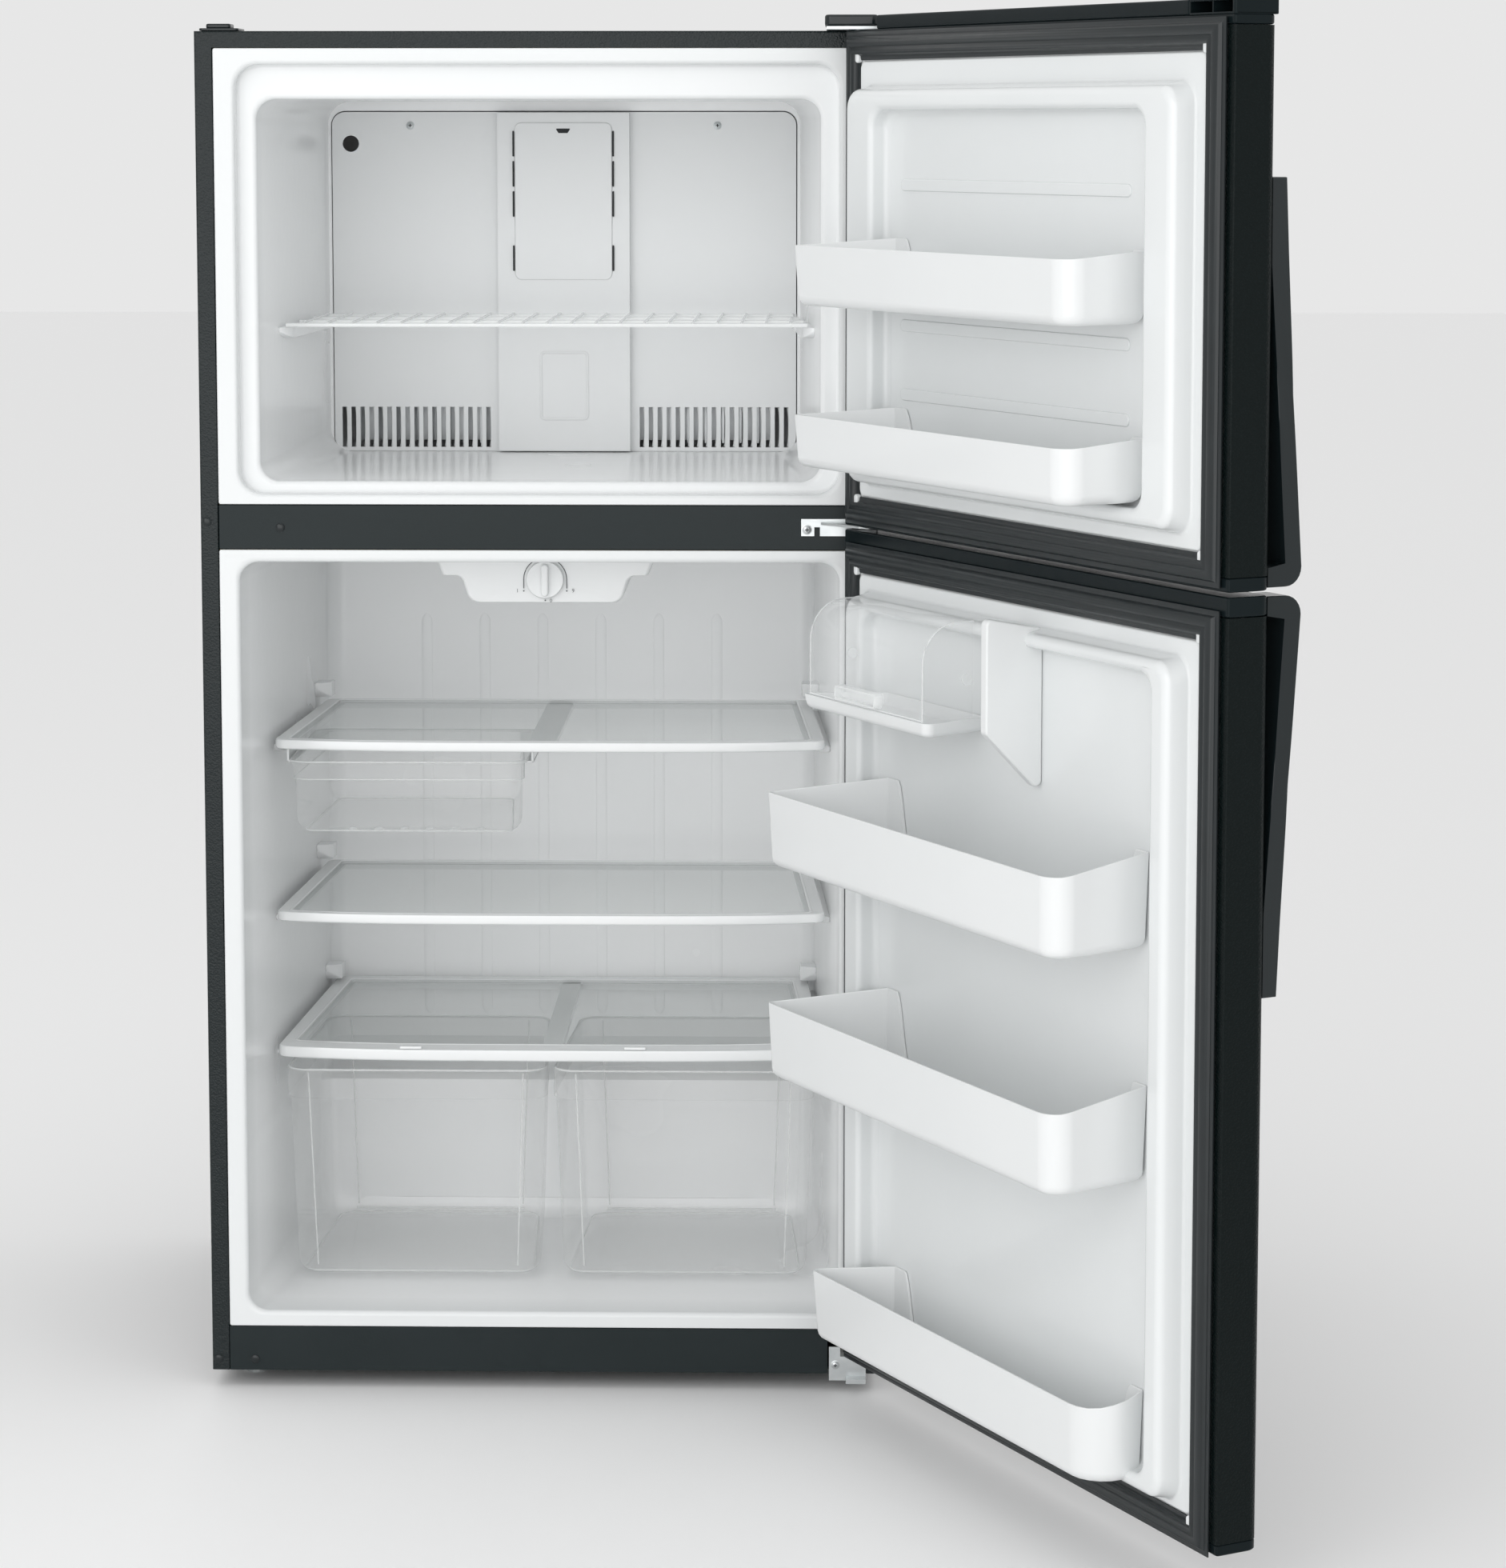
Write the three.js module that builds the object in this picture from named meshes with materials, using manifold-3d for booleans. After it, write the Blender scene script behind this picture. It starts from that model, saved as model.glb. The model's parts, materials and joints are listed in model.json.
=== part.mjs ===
// A top freezer refrigerator with both doors standing open, as separate named pieces, in millimetres, +Z up.
// Pieces are drawn in the cabinet's frame: x = 0 on the centre line, y = 0 on the cabinet's front plane,
// z = 0 on the floor. The doors are drawn shut, then swung open about their hinge pins.
import * as THREE from "three";
import { mergeVertices } from "three/addons/utils/BufferGeometryUtils.js";
import Module from "manifold-3d";

const wasm = await Module();
wasm.setup();

// Driving dimensions
const CASE_HALF = 416; // half of the case's width
const CASE_DEPTH = 700;
const CASE_BOTTOM = 22;
const CASE_TOP = 1690;
const STEEL = 1.5; // sheet thickness of case and door skins
const PLASTIC = 2.5; // wall thickness of liners, bins and drawers
const GAP = 0.4; // clearance between touching pieces
const SIDE_RETURN = 22; // width of the case's front edge at the sides
const TOP_RETURN = 20;
const RETURN_DEPTH = 12;
const FLANGE_HALF = CASE_HALF - SIDE_RETURN; // half width of the white flange between the side returns
const MID_RAIL_LOW = 1058;
const MID_RAIL_TOP = 1113;
const BOTTOM_RAIL_TOP = 78;

const HINGE_X = 404; // the hinge pins' axis
const HINGE_Y = -39;
const OPEN_ANGLE = THREE.MathUtils.degToRad(118.5);
const DOOR_BACK = -12.4; // the door skin's rear plane, door shut
const DOOR_FRONT = -66;
const FREEZER_DOOR = { low: 1094, top: 1706, skinLow: 1109.4, skinTop: 1678.6 };
const FRIDGE_DOOR = { low: 63, top: 1089, skinLow: 75.4, skinTop: 1067.2 };
const PIN_RADIUS = 6;

// The two compartments: a tub whose side walls draw in towards the back
const FRIDGE = { front: 369, rear: 335, startY: 0, endY: 610, low: 98, top: 1042 };
const FREEZER = { front: 345, rear: 308, startY: 24, endY: 612, low: 1140, top: 1608 };
const REBATE = { half: 368, depth: 24, low: 1126, top: 1650 }; // the freezer opening's wide front step
const HUMP_Y = 465; // the machine compartment's front wall, seen inside the fridge
const HUMP_TOP = 300;

const SHELF_FRONT = 140;
const SHELF_REAR = 535;
const SHELF_SIDE_GAP = 12; // from the liner wall to a shelf's edge
const LEDGE_DEPTH = 16;
const UPPER_SHELF_TOP = 798.5;
const MIDDLE_SHELF_TOP = 576;
const SHELF_HEIGHT = 13;
const COVER_TOP = 401; // the crisper cover
const COVER_HEIGHT = 15.5;
const COVER_REAR = 600;

// Solids: every shape becomes a manifold solid, so pieces can be joined and cut
const solidOf = (geometry) => {
  const bare = geometry.clone();
  bare.deleteAttribute("normal");
  bare.deleteAttribute("uv");
  const merged = mergeVertices(bare, 1e-4);
  return new wasm.Manifold(
    new wasm.Mesh({
      numProp: 3,
      vertProperties: merged.attributes.position.array,
      triVerts: new Uint32Array(merged.index.array),
    }),
  );
};

const geometryOf = (solid) => {
  const mesh = solid.getMesh();
  const geometry = new THREE.BufferGeometry();
  geometry.setAttribute("position", new THREE.BufferAttribute(mesh.vertProperties, 3));
  geometry.setIndex(new THREE.BufferAttribute(mesh.triVerts, 1));
  const faceted = geometry.toNonIndexed();
  faceted.computeVertexNormals();
  return faceted;
};

const join = (...solids) => solids.reduce((whole, next) => whole.add(next));
const cut = (whole, ...tools) => tools.reduce((left, tool) => left.subtract(tool), whole);

// A box between two corners
const block = (x0, x1, y0, y1, z0, z1) =>
  solidOf(
    new THREE.BoxGeometry(x1 - x0, y1 - y0, z1 - z0).translate((x0 + x1) / 2, (y0 + y1) / 2, (z0 + z1) / 2),
  );

const shapeOf = (points) => new THREE.Shape(points.map(([a, b]) => new THREE.Vector2(a, b)));

const circle = (a, b, radius, sides) =>
  shapeOf(
    [...Array(sides).keys()].map((i) => {
      const turn = (i * 2 * Math.PI) / sides;
      return [a + radius * Math.cos(turn), b + radius * Math.sin(turn)];
    }),
  );

// A plan outline in (x, y) raised from z0 to z1
const raised = (shape, z0, z1) =>
  solidOf(
    new THREE.ExtrudeGeometry(shape, { depth: z1 - z0, bevelEnabled: false, curveSegments: 6 }).translate(0, 0, z0),
  );

// A front outline in (x, z) carried from y0 back to y1
const deepened = (shape, y0, y1) =>
  solidOf(
    new THREE.ExtrudeGeometry(shape, { depth: y1 - y0, bevelEnabled: false, curveSegments: 6 })
      .rotateX(Math.PI / 2)
      .translate(0, y1, 0),
  );

// A side outline in (y, z) carried from x0 to x1
const widened = (shape, x0, x1) =>
  solidOf(
    new THREE.ExtrudeGeometry(shape, { depth: x1 - x0, bevelEnabled: false, curveSegments: 6 })
      .applyMatrix4(new THREE.Matrix4().set(0, 0, 1, x0, 1, 0, 0, 0, 0, 1, 0, 0, 0, 0, 0, 1)),
  );

// A round bar along "x", "y" or "z", from the point start, of the given length
const bar = (axis, radius, start, length, sides = 20) => {
  const cylinder = new THREE.CylinderGeometry(radius, radius, length, sides).translate(0, length / 2, 0);
  if (axis === "x") cylinder.rotateZ(-Math.PI / 2);
  if (axis === "z") cylinder.rotateX(Math.PI / 2);
  return solidOf(cylinder.translate(...start));
};

// Corners of a convex plan outline moved inwards by a wall thickness; the outline runs anticlockwise
const inset = (points, wall) => {
  const side = points.map(([x, y], i) => {
    const [nextX, nextY] = points[(i + 1) % points.length];
    const length = Math.hypot(nextX - x, nextY - y);
    const normal = [-(nextY - y) / length, (nextX - x) / length];
    return { normal, offset: normal[0] * x + normal[1] * y + wall };
  });
  return side.map((here, i) => {
    const before = side[(i + side.length - 1) % side.length];
    const cross = before.normal[0] * here.normal[1] - before.normal[1] * here.normal[0];
    const x = (before.offset * here.normal[1] - here.offset * before.normal[1]) / cross;
    const y = (here.offset * before.normal[0] - before.offset * here.normal[0]) / cross;
    return [x, y];
  });
};

// An open-topped tray: a convex plan outline with a floor and walls
const tray = (points, low, top, wall) =>
  cut(raised(shapeOf(points), low, top), raised(shapeOf(inset(points, wall)), low + wall, top + 1));

const roundedRect = (x0, x1, z0, z1, r) => {
  const shape = new THREE.Shape();
  shape.moveTo(x0 + r, z0);
  shape.lineTo(x1 - r, z0);
  shape.absarc(x1 - r, z0 + r, r, -Math.PI / 2, 0, false);
  shape.lineTo(x1, z1 - r);
  shape.absarc(x1 - r, z1 - r, r, 0, Math.PI / 2, false);
  shape.lineTo(x0 + r, z1);
  shape.absarc(x0 + r, z1 - r, r, Math.PI / 2, Math.PI, false);
  shape.lineTo(x0, z0 + r);
  shape.absarc(x0 + r, z0 + r, r, Math.PI, 1.5 * Math.PI, false);
  return shape;
};

// Materials
const finish = (color, roughness, metalness = 0, opacity = 1) =>
  new THREE.MeshStandardMaterial({ color, roughness, metalness, opacity, transparent: opacity < 1 });
const blackSteel = () => finish("#20282a", 0.35, 0.2);
const blackPlastic = () => finish("#1a2022", 0.4);
const gasketRubber = () => finish("#15191a", 0.5);
const whiteLiner = () => finish("#e9ebea", 0.25);
const whitePlastic = () => finish("#eceeee", 0.35);
const clearPlastic = () => finish("#e6eaea", 0.1, 0, 0.4);
const shelfGlass = () => finish("#dfe8e6", 0.05, 0, 0.35);
const whiteWire = () => finish("#f2f2f2", 0.3);
const zincSteel = () => finish("#a9adaf", 0.35, 0.8);
const galvanised = () => finish("#9da2a4", 0.5, 0.7);
const foam = () => finish("#d9cfa4", 0.9);
const aluminium = () => finish("#b9bcbe", 0.35, 0.9);
const copper = () => finish("#a8623d", 0.35, 0.9);
const board = () => finish("#4b4b48", 0.85);

const cabinet = new THREE.Group();
const freezerDoor = new THREE.Group();
const fridgeDoor = new THREE.Group();

const add = (group, name, solid, material) => {
  const mesh = new THREE.Mesh(geometryOf(solid), material);
  mesh.name = name;
  group.add(mesh);
};

// Half of a tub's inner width at a depth y
const halfAt = (tub, y) => tub.front + ((tub.rear - tub.front) * (y - tub.startY)) / (tub.endY - tub.startY);

const tubPlan = (tub, y0, y1, margin) => [
  [-halfAt(tub, y0) - margin, y0],
  [halfAt(tub, y0) + margin, y0],
  [halfAt(tub, y1) + margin, y1],
  [-halfAt(tub, y1) - margin, y1],
];

// ---- Cabinet shell ----

function outerCase() {
  const shell = cut(
    block(-CASE_HALF, CASE_HALF, 0, CASE_DEPTH, CASE_BOTTOM, CASE_TOP),
    block(-CASE_HALF + STEEL, CASE_HALF - STEEL, -1, CASE_DEPTH + 1, CASE_BOTTOM - 1, CASE_TOP - STEEL),
  );
  const sideReturn = (x0, x1) => block(x0, x1, 0, RETURN_DEPTH, CASE_BOTTOM, CASE_TOP);
  return join(
    shell,
    sideReturn(-CASE_HALF, -FLANGE_HALF),
    sideReturn(FLANGE_HALF, CASE_HALF),
    block(-CASE_HALF, CASE_HALF, 0, RETURN_DEPTH, CASE_TOP - TOP_RETURN, CASE_TOP),
  );
}

// The solid space a liner takes, walls included
function fridgeEnvelope(wall) {
  return cut(
    raised(shapeOf(tubPlan(FRIDGE, 0, FRIDGE.endY + wall, wall)), FRIDGE.low - wall, FRIDGE.top + wall),
    block(-CASE_HALF, CASE_HALF, HUMP_Y + wall, CASE_DEPTH, 0, HUMP_TOP - wall),
  );
}

function freezerEnvelope(wall) {
  return join(
    raised(shapeOf(tubPlan(FREEZER, 0, FREEZER.endY + wall, wall)), FREEZER.low - wall, FREEZER.top + wall),
    block(
      -REBATE.half - wall, REBATE.half + wall,
      0, REBATE.depth + wall,
      REBATE.low - wall, REBATE.top + wall,
    ),
  );
}

// A pair of shelf ledges on the side walls, their inner edges following the walls' draft
function ledges(tub, y0, y1, low, top) {
  const half = (side) =>
    raised(
      shapeOf(
        [
          [halfAt(tub, y0) + 1, y0],
          [halfAt(tub, y1) + 1, y1],
          [halfAt(tub, y1) - LEDGE_DEPTH, y1],
          [halfAt(tub, y0) - LEDGE_DEPTH, y0],
        ].map(([x, y]) => [side * x, y]),
      ),
      low,
      top,
    );
  return join(half(-1), half(1));
}

function fridgeLiner() {
  const flange = block(
    -FLANGE_HALF + GAP, FLANGE_HALF - GAP, 0, PLASTIC, BOTTOM_RAIL_TOP + GAP, MID_RAIL_LOW - GAP,
  );
  const inside = cut(
    raised(shapeOf(tubPlan(FRIDGE, -1, FRIDGE.endY, 0)), FRIDGE.low, FRIDGE.top),
    block(-CASE_HALF, CASE_HALF, HUMP_Y, CASE_DEPTH, 0, HUMP_TOP),
  );
  const wallRibs = [-200, -120, -40, 40, 120, 200].map((x) =>
    block(x - 7, x + 7, FRIDGE.endY - 2, FRIDGE.endY + 1, HUMP_TOP + 120, 905),
  );
  return join(
    cut(join(fridgeEnvelope(PLASTIC), flange), inside),
    ledges(FRIDGE, 150, SHELF_REAR, 775, UPPER_SHELF_TOP - SHELF_HEIGHT - GAP),
    ledges(FRIDGE, 150, SHELF_REAR, 553, MIDDLE_SHELF_TOP - SHELF_HEIGHT - GAP),
    ledges(FRIDGE, 150, COVER_REAR, 377, COVER_TOP - COVER_HEIGHT - GAP),
    ...wallRibs,
  );
}

function freezerLiner() {
  const flange = block(
    -FLANGE_HALF + GAP, FLANGE_HALF - GAP, 0, PLASTIC, MID_RAIL_TOP + GAP, CASE_TOP - TOP_RETURN - GAP,
  );
  const inside = join(
    raised(shapeOf(tubPlan(FREEZER, 0, FREEZER.endY, 0)), FREEZER.low, FREEZER.top),
    block(-REBATE.half, REBATE.half, -1, REBATE.depth, REBATE.low, REBATE.top),
  );
  return join(cut(join(freezerEnvelope(PLASTIC), flange), inside), ledges(FREEZER, 155, 415, 1314, 1323.6));
}

function cabinetFoam() {
  const wall = PLASTIC + GAP;
  const edge = CASE_HALF - STEEL - GAP;
  return cut(
    block(-edge, edge, RETURN_DEPTH + GAP, CASE_DEPTH - 4, BOTTOM_RAIL_TOP + GAP, CASE_TOP - STEEL - GAP),
    fridgeEnvelope(wall),
    freezerEnvelope(wall),
    block(-edge - 1, edge + 1, HUMP_Y - 15, CASE_DEPTH, 0, HUMP_TOP + 12),
    block(-edge - 1, edge + 1, 0, RETURN_DEPTH + GAP, 0, CASE_TOP),
  );
}

// The floor pan with the front rail, and forks that carry the rear rollers' axles
const ROLLER = { x: 370, y: 640, z: 20, radius: 20, width: 18 };

function baseFrame() {
  const inner = CASE_HALF - STEEL - GAP;
  const pan = block(-inner, inner, RETURN_DEPTH + GAP, CASE_DEPTH - 4, CASE_BOTTOM + 2, CASE_BOTTOM + 5);
  const rail = block(-FLANGE_HALF + GAP, 356, 0, RETURN_DEPTH + 6, CASE_BOTTOM, BOTTOM_RAIL_TOP);
  const slots = [-1, 1].map((side) =>
    block(side * ROLLER.x - 13, side * ROLLER.x + 13, ROLLER.y - 24, ROLLER.y + 24, 0, 60),
  );
  const forks = [-1, 1].flatMap((side) => [
    block(side * ROLLER.x - 15, side * ROLLER.x - 12, ROLLER.y - 12, ROLLER.y + 12, 10, CASE_BOTTOM + 4),
    block(side * ROLLER.x + 12, side * ROLLER.x + 15, ROLLER.y - 12, ROLLER.y + 12, 10, CASE_BOTTOM + 4),
    bar("x", 4, [side * ROLLER.x - 13, ROLLER.y, ROLLER.z], 26, 12),
  ]);
  return join(cut(join(pan, rail), ...slots), ...forks);
}

function roller(side) {
  const start = side * ROLLER.x - ROLLER.width / 2;
  return cut(
    bar("x", ROLLER.radius, [start, ROLLER.y, ROLLER.z], ROLLER.width, 32),
    bar("x", 4.4, [start - 1, ROLLER.y, ROLLER.z], ROLLER.width + 2, 16),
  );
}

function levellingLeg(side) {
  return join(
    bar("z", 15, [side * 370, 75, 0], 7, 24),
    bar("z", 5, [side * 370, 75, 6], CASE_BOTTOM + 1.6 - 6, 16),
  );
}

const backPanel = () =>
  block(
    -CASE_HALF + STEEL + GAP, CASE_HALF - STEEL - GAP,
    CASE_DEPTH - 3.5, CASE_DEPTH - 2,
    HUMP_TOP + 6, CASE_TOP - STEEL - GAP,
  );

const GLAND = { x: -300, z: 70 };

function compressorCover() {
  const half = CASE_HALF - STEEL - GAP;
  const plate = block(-half, half, CASE_DEPTH - 3.5, CASE_DEPTH - 1.5, CASE_BOTTOM + 8, HUMP_TOP + 4);
  const louvres = [-280, -210, -140, -70, 0, 70, 140, 210, 280].map((x) =>
    block(x - 22, x + 22, CASE_DEPTH - 5, CASE_DEPTH, 200, 206),
  );
  const lowerLouvres = [-140, -70, 0, 70, 140, 210, 280].map((x) =>
    block(x - 22, x + 22, CASE_DEPTH - 5, CASE_DEPTH, 130, 136),
  );
  return cut(plate, ...louvres, ...lowerLouvres, bar("y", 11, [GLAND.x, CASE_DEPTH - 6, GLAND.z], 8));
}

const cordGland = () =>
  join(
    bar("y", 10.5, [GLAND.x, CASE_DEPTH - 12, GLAND.z], 12),
    bar("y", 15, [GLAND.x, CASE_DEPTH - 1.1, GLAND.z], 5),
    bar("y", 8, [GLAND.x, CASE_DEPTH + 3, GLAND.z], 9),
  );

// ---- Freezer compartment ----

const PANEL = { half: 310, low: 1141, top: 1594, front: 496, back: 500 };
const DUCT = { half: 88, front: 481, slotX: 64 };
const FAN_Z = 1480;

function evaporatorCover() {
  const slots = [-1, 1].flatMap((side) =>
    [...Array(17).keys()].map((slot) => {
      const x = side * 200 + (slot - 8) * 12.1;
      return block(x - 3.2, x + 3.2, PANEL.front - 1, PANEL.back + 1, 1146, 1200);
    }),
  );
  const duct = cut(
    block(-DUCT.half, DUCT.half, DUCT.front, PANEL.front + 1, PANEL.low + 1, PANEL.top - 1),
    block(-DUCT.half + 3, DUCT.half - 3, DUCT.front + 3, PANEL.back + 1, PANEL.low + 250, PANEL.top - 4),
  );
  const panel = cut(
    deepened(roundedRect(-PANEL.half, PANEL.half, PANEL.low, PANEL.top, 18), PANEL.front, PANEL.back),
    ...slots,
    block(-DUCT.half + 3, DUCT.half - 3, PANEL.front - 1, PANEL.back + 1, PANEL.low + 250, PANEL.top - 4),
    bar("y", 11, [-285, PANEL.front - 1, 1552], 6, 16),
  );
  const airSlots = [-1, 1].flatMap((side) =>
    [1548, 1505, 1462, 1400].map((z) =>
      block(side * DUCT.slotX - 1.2, side * DUCT.slotX + 1.2, DUCT.front - 1, DUCT.front + 4, z - 18, z + 18),
    ),
  );
  return cut(join(panel, duct), ...airSlots);
}

function evaporatorCoil() {
  const points = [[-280, 580]];
  const fins = 24;
  const pitch = 560 / fins;
  for (let fin = 0; fin < fins; fin += 1) {
    const x = -280 + fin * pitch;
    points.push([x, 520], [x + 3, 520], [x + 3, 572], [x + pitch, 572]);
  }
  points.push([280, 580]);
  return raised(shapeOf(points.slice().reverse()), 1150, 1330);
}

// A fan whose hub lies along an axis: flat blades, each turned about its own radius
function fan(axis, centre, radius, bladeCount) {
  const hub = new THREE.CylinderGeometry(17, 17, 20, 20);
  let whole = solidOf(hub).subtract(solidOf(new THREE.CylinderGeometry(3.4, 3.4, 30, 12)));
  for (let blade = 0; blade < bladeCount; blade += 1) {
    const paddle = new THREE.BoxGeometry(radius - 14, 2, 34)
      .rotateX(Math.PI / 5)
      .translate((radius + 14) / 2, 0, 0)
      .rotateY((blade * 2 * Math.PI) / bladeCount);
    whole = whole.add(solidOf(paddle));
  }
  const turned = geometryOf(whole);
  if (axis === "x") turned.rotateZ(-Math.PI / 2);
  return solidOf(turned.translate(...centre));
}

const evaporatorFanMotor = () =>
  join(
    bar("y", 3, [0, 532, FAN_Z], 25, 12),
    bar("y", 24, [0, 550, FAN_Z], 40),
    block(-40, 40, 588, FREEZER.endY - GAP, FAN_Z - 12, FAN_Z + 12),
  );

// A wire shelf: bars from front to back, welded to the cross rods
function wireShelf() {
  const z = 1328;
  const front = 150;
  const rear = 412;
  const half = (y) => halfAt(FREEZER, y) - 9;
  const rods = [front, 240, 330, rear].map((y) => bar("x", 2.6, [-half(y), y, z - 1.6], 2 * half(y), 8));
  const reach = half(rear) - 4;
  const count = 17;
  const bars = [...Array(count).keys()].map((i) => {
    const x = -reach + (2 * reach * i) / (count - 1);
    return bar("y", 1.6, [x, front - 1, z + 1], rear - front + 2, 6);
  });
  return join(...rods, ...bars);
}

// ---- Fridge compartment ----

const CONTROL = { front: 106, back: 235, knobZ: 1010, knobRadius: 23.4 };

function controlHousing() {
  const ceiling = FRIDGE.top - GAP;
  const half = [[139, ceiling], [138, 1034], [128, 1017], [116, 1015], [101, 996], [86, 980]];
  const outline = [...half.map(([x, z]) => [-x, z]), ...half.slice().reverse()];
  return cut(
    deepened(shapeOf(outline), CONTROL.front, CONTROL.back),
    bar("y", 4.5, [0, CONTROL.front - 1, CONTROL.knobZ], 14, 12),
  );
}

const lampCover = () =>
  cut(
    deepened(roundedRect(-62, 62, 988, FRIDGE.top - GAP, 12), CONTROL.back + GAP, CONTROL.back + 90),
    deepened(roundedRect(-59, 59, 991, FRIDGE.top + 5, 10), CONTROL.back - 1, CONTROL.back + 87),
  );

const temperatureKnob = () => {
  const dial = bar("y", CONTROL.knobRadius, [0, CONTROL.front - 8, CONTROL.knobZ], 8 - GAP, 40);
  const grip = block(
    -4.5, 4.5, CONTROL.front - 15, CONTROL.front - 7, CONTROL.knobZ - 20, CONTROL.knobZ + 20,
  );
  return join(dial, grip, bar("y", 4, [0, CONTROL.front - 1, CONTROL.knobZ], 12, 12));
};

// The outline of a shelf that follows the liner's walls, with an inner margin
const shelfPlan = (front, rear, margin) =>
  [
    [-halfAt(FRIDGE, front) + SHELF_SIDE_GAP + margin, front + margin],
    [halfAt(FRIDGE, front) - SHELF_SIDE_GAP - margin, front + margin],
    [halfAt(FRIDGE, rear) - SHELF_SIDE_GAP - margin, rear - margin],
    [-halfAt(FRIDGE, rear) + SHELF_SIDE_GAP + margin, rear - margin],
  ];

const GLASS = 4;
const RIM = 6; // the frame's rim round the glass
const SEAT = 8; // how far the frame reaches under the glass

function shelfFrame(front, rear, top, height) {
  return cut(
    raised(shapeOf(shelfPlan(front, rear, 0)), top - height, top),
    raised(shapeOf(shelfPlan(front, rear, RIM)), top - GLASS - GAP, top + 1),
    raised(shapeOf(shelfPlan(front, rear, RIM + SEAT)), top - height - 1, top + 1),
  );
}

const shelfPane = (front, rear, top) =>
  raised(shapeOf(shelfPlan(front, rear, RIM + GAP)), top - GLASS, top);

const PAN = { left: -331, right: -27, front: 135, rear: 425, low: 680, rimLow: 770, rim: 773 };

// The upper shelf's frame also carries a cross bar and the two rails that the snack pan slides on
function upperShelfFrame() {
  const under = UPPER_SHELF_TOP - GLASS - GAP;
  const crossBar = block(PAN.right, 8, SHELF_FRONT + 8, SHELF_REAR - 8, under - 6, under);
  const rail = (web0, web1, foot0, foot1, rear) =>
    join(
      block(web0, web1, SHELF_FRONT + 2, rear, PAN.rimLow - 3, UPPER_SHELF_TOP - SHELF_HEIGHT + 4),
      block(foot0, foot1, SHELF_FRONT + 2, rear, PAN.rimLow - 3, PAN.rimLow - GAP),
    );
  return join(
    shelfFrame(SHELF_FRONT, SHELF_REAR, UPPER_SHELF_TOP, SHELF_HEIGHT),
    crossBar,
    rail(-24, -21, -31, -21, PAN.rear),
    block(-24, -21, SHELF_FRONT + 2, PAN.rear, PAN.rimLow - 3, under - 1),
    rail(-336.6, -333.6, -336.6, -327, 262),
  );
}

function snackPan() {
  const body = (margin) => [
    [PAN.left + margin, PAN.front],
    [PAN.right - margin, PAN.front],
    [PAN.right - margin, PAN.rear],
    [PAN.left + margin + 4, PAN.rear],
  ];
  return join(
    tray(body(6), PAN.low, PAN.rim, PLASTIC),
    cut(
      raised(shapeOf(body(0)), PAN.rimLow, PAN.rim),
      raised(shapeOf(inset(body(6), PLASTIC)), PAN.rimLow - 1, PAN.rim + 1),
    ),
  );
}

function crisperCoverFrame() {
  const centreBar = block(-12, 12, SHELF_FRONT + 6, COVER_REAR - 8, COVER_TOP - COVER_HEIGHT, COVER_TOP - GLASS - GAP);
  return join(shelfFrame(SHELF_FRONT, COVER_REAR, COVER_TOP, COVER_HEIGHT), centreBar);
}

const humiditySlider = (x) => block(x - 14, x + 14, SHELF_FRONT + 0.5, SHELF_FRONT + 5.5, COVER_TOP + GAP, COVER_TOP + 4);

const CRISPER = { front: 130, rear: 455, low: 104, top: 376, outerFront: 340, outerRear: 321, inner: 2 };

function crisper(side) {
  const plan = [
    [-CRISPER.outerFront, CRISPER.front],
    [-CRISPER.inner, CRISPER.front],
    [-CRISPER.inner, CRISPER.rear],
    [-CRISPER.outerRear, CRISPER.rear],
  ];
  const points = side < 0 ? plan : plan.map(([x, y]) => [-x, y]).reverse();
  return tray(points, CRISPER.low, CRISPER.top, PLASTIC);
}

// ---- Machine compartment ----

function compressor() {
  const profile = new THREE.Path();
  profile.moveTo(0, 0);
  profile.lineTo(78, 0);
  profile.lineTo(78, 110);
  profile.absellipse(0, 110, 78, 60, 0, Math.PI / 2, false);
  const dome = new THREE.LatheGeometry(profile.getPoints(8), 28).rotateX(Math.PI / 2).translate(250, 575, 36);
  const feet = block(160, 340, 505, 645, CASE_BOTTOM + 5.4, 38);
  return join(solidOf(dome), feet);
}

const CONDENSER = { left: -330, right: -80, y: 560, low: 70, pitch: 24, runs: 8, radius: 4 };

// One tube folded back and forth: straight runs joined by half turns
function condenserCoil() {
  const points = [];
  for (let run = 0; run < CONDENSER.runs; run += 1) {
    const z = CONDENSER.low + run * CONDENSER.pitch;
    const ends = run % 2 ? [CONDENSER.right, CONDENSER.left] : [CONDENSER.left, CONDENSER.right];
    points.push(new THREE.Vector3(ends[0], CONDENSER.y, z), new THREE.Vector3(ends[1], CONDENSER.y, z));
    const outward = Math.sign(ends[1] - ends[0]) * CONDENSER.pitch * 0.45;
    if (run < CONDENSER.runs - 1) {
      points.push(new THREE.Vector3(ends[1] + outward, CONDENSER.y, z + CONDENSER.pitch / 2));
    }
  }
  const path = new THREE.CatmullRomCurve3(points, false, "centripetal");
  return solidOf(
    new THREE.ExtrudeGeometry(circle(0, 0, CONDENSER.radius, 6), {
      steps: 110,
      extrudePath: path,
      bevelEnabled: false,
    }),
  );
}

const CONDENSER_FAN = { x: 40, y: 575, z: 150 };

const condenserFanMotor = () =>
  join(
    bar("x", 3, [CONDENSER_FAN.x - 5, CONDENSER_FAN.y, CONDENSER_FAN.z], 30, 12),
    bar("x", 24, [CONDENSER_FAN.x + 18, CONDENSER_FAN.y, CONDENSER_FAN.z], 40),
    block(CONDENSER_FAN.x + 26, CONDENSER_FAN.x + 50, CONDENSER_FAN.y - 15, CONDENSER_FAN.y + 15, 27.4, 135),
  );

const drainPan = () =>
  tray([[-345, 480], [-65, 480], [-65, 680], [-345, 680]], CASE_BOTTOM + 5.4, 56, PLASTIC);

// ---- Hinges ----

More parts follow.
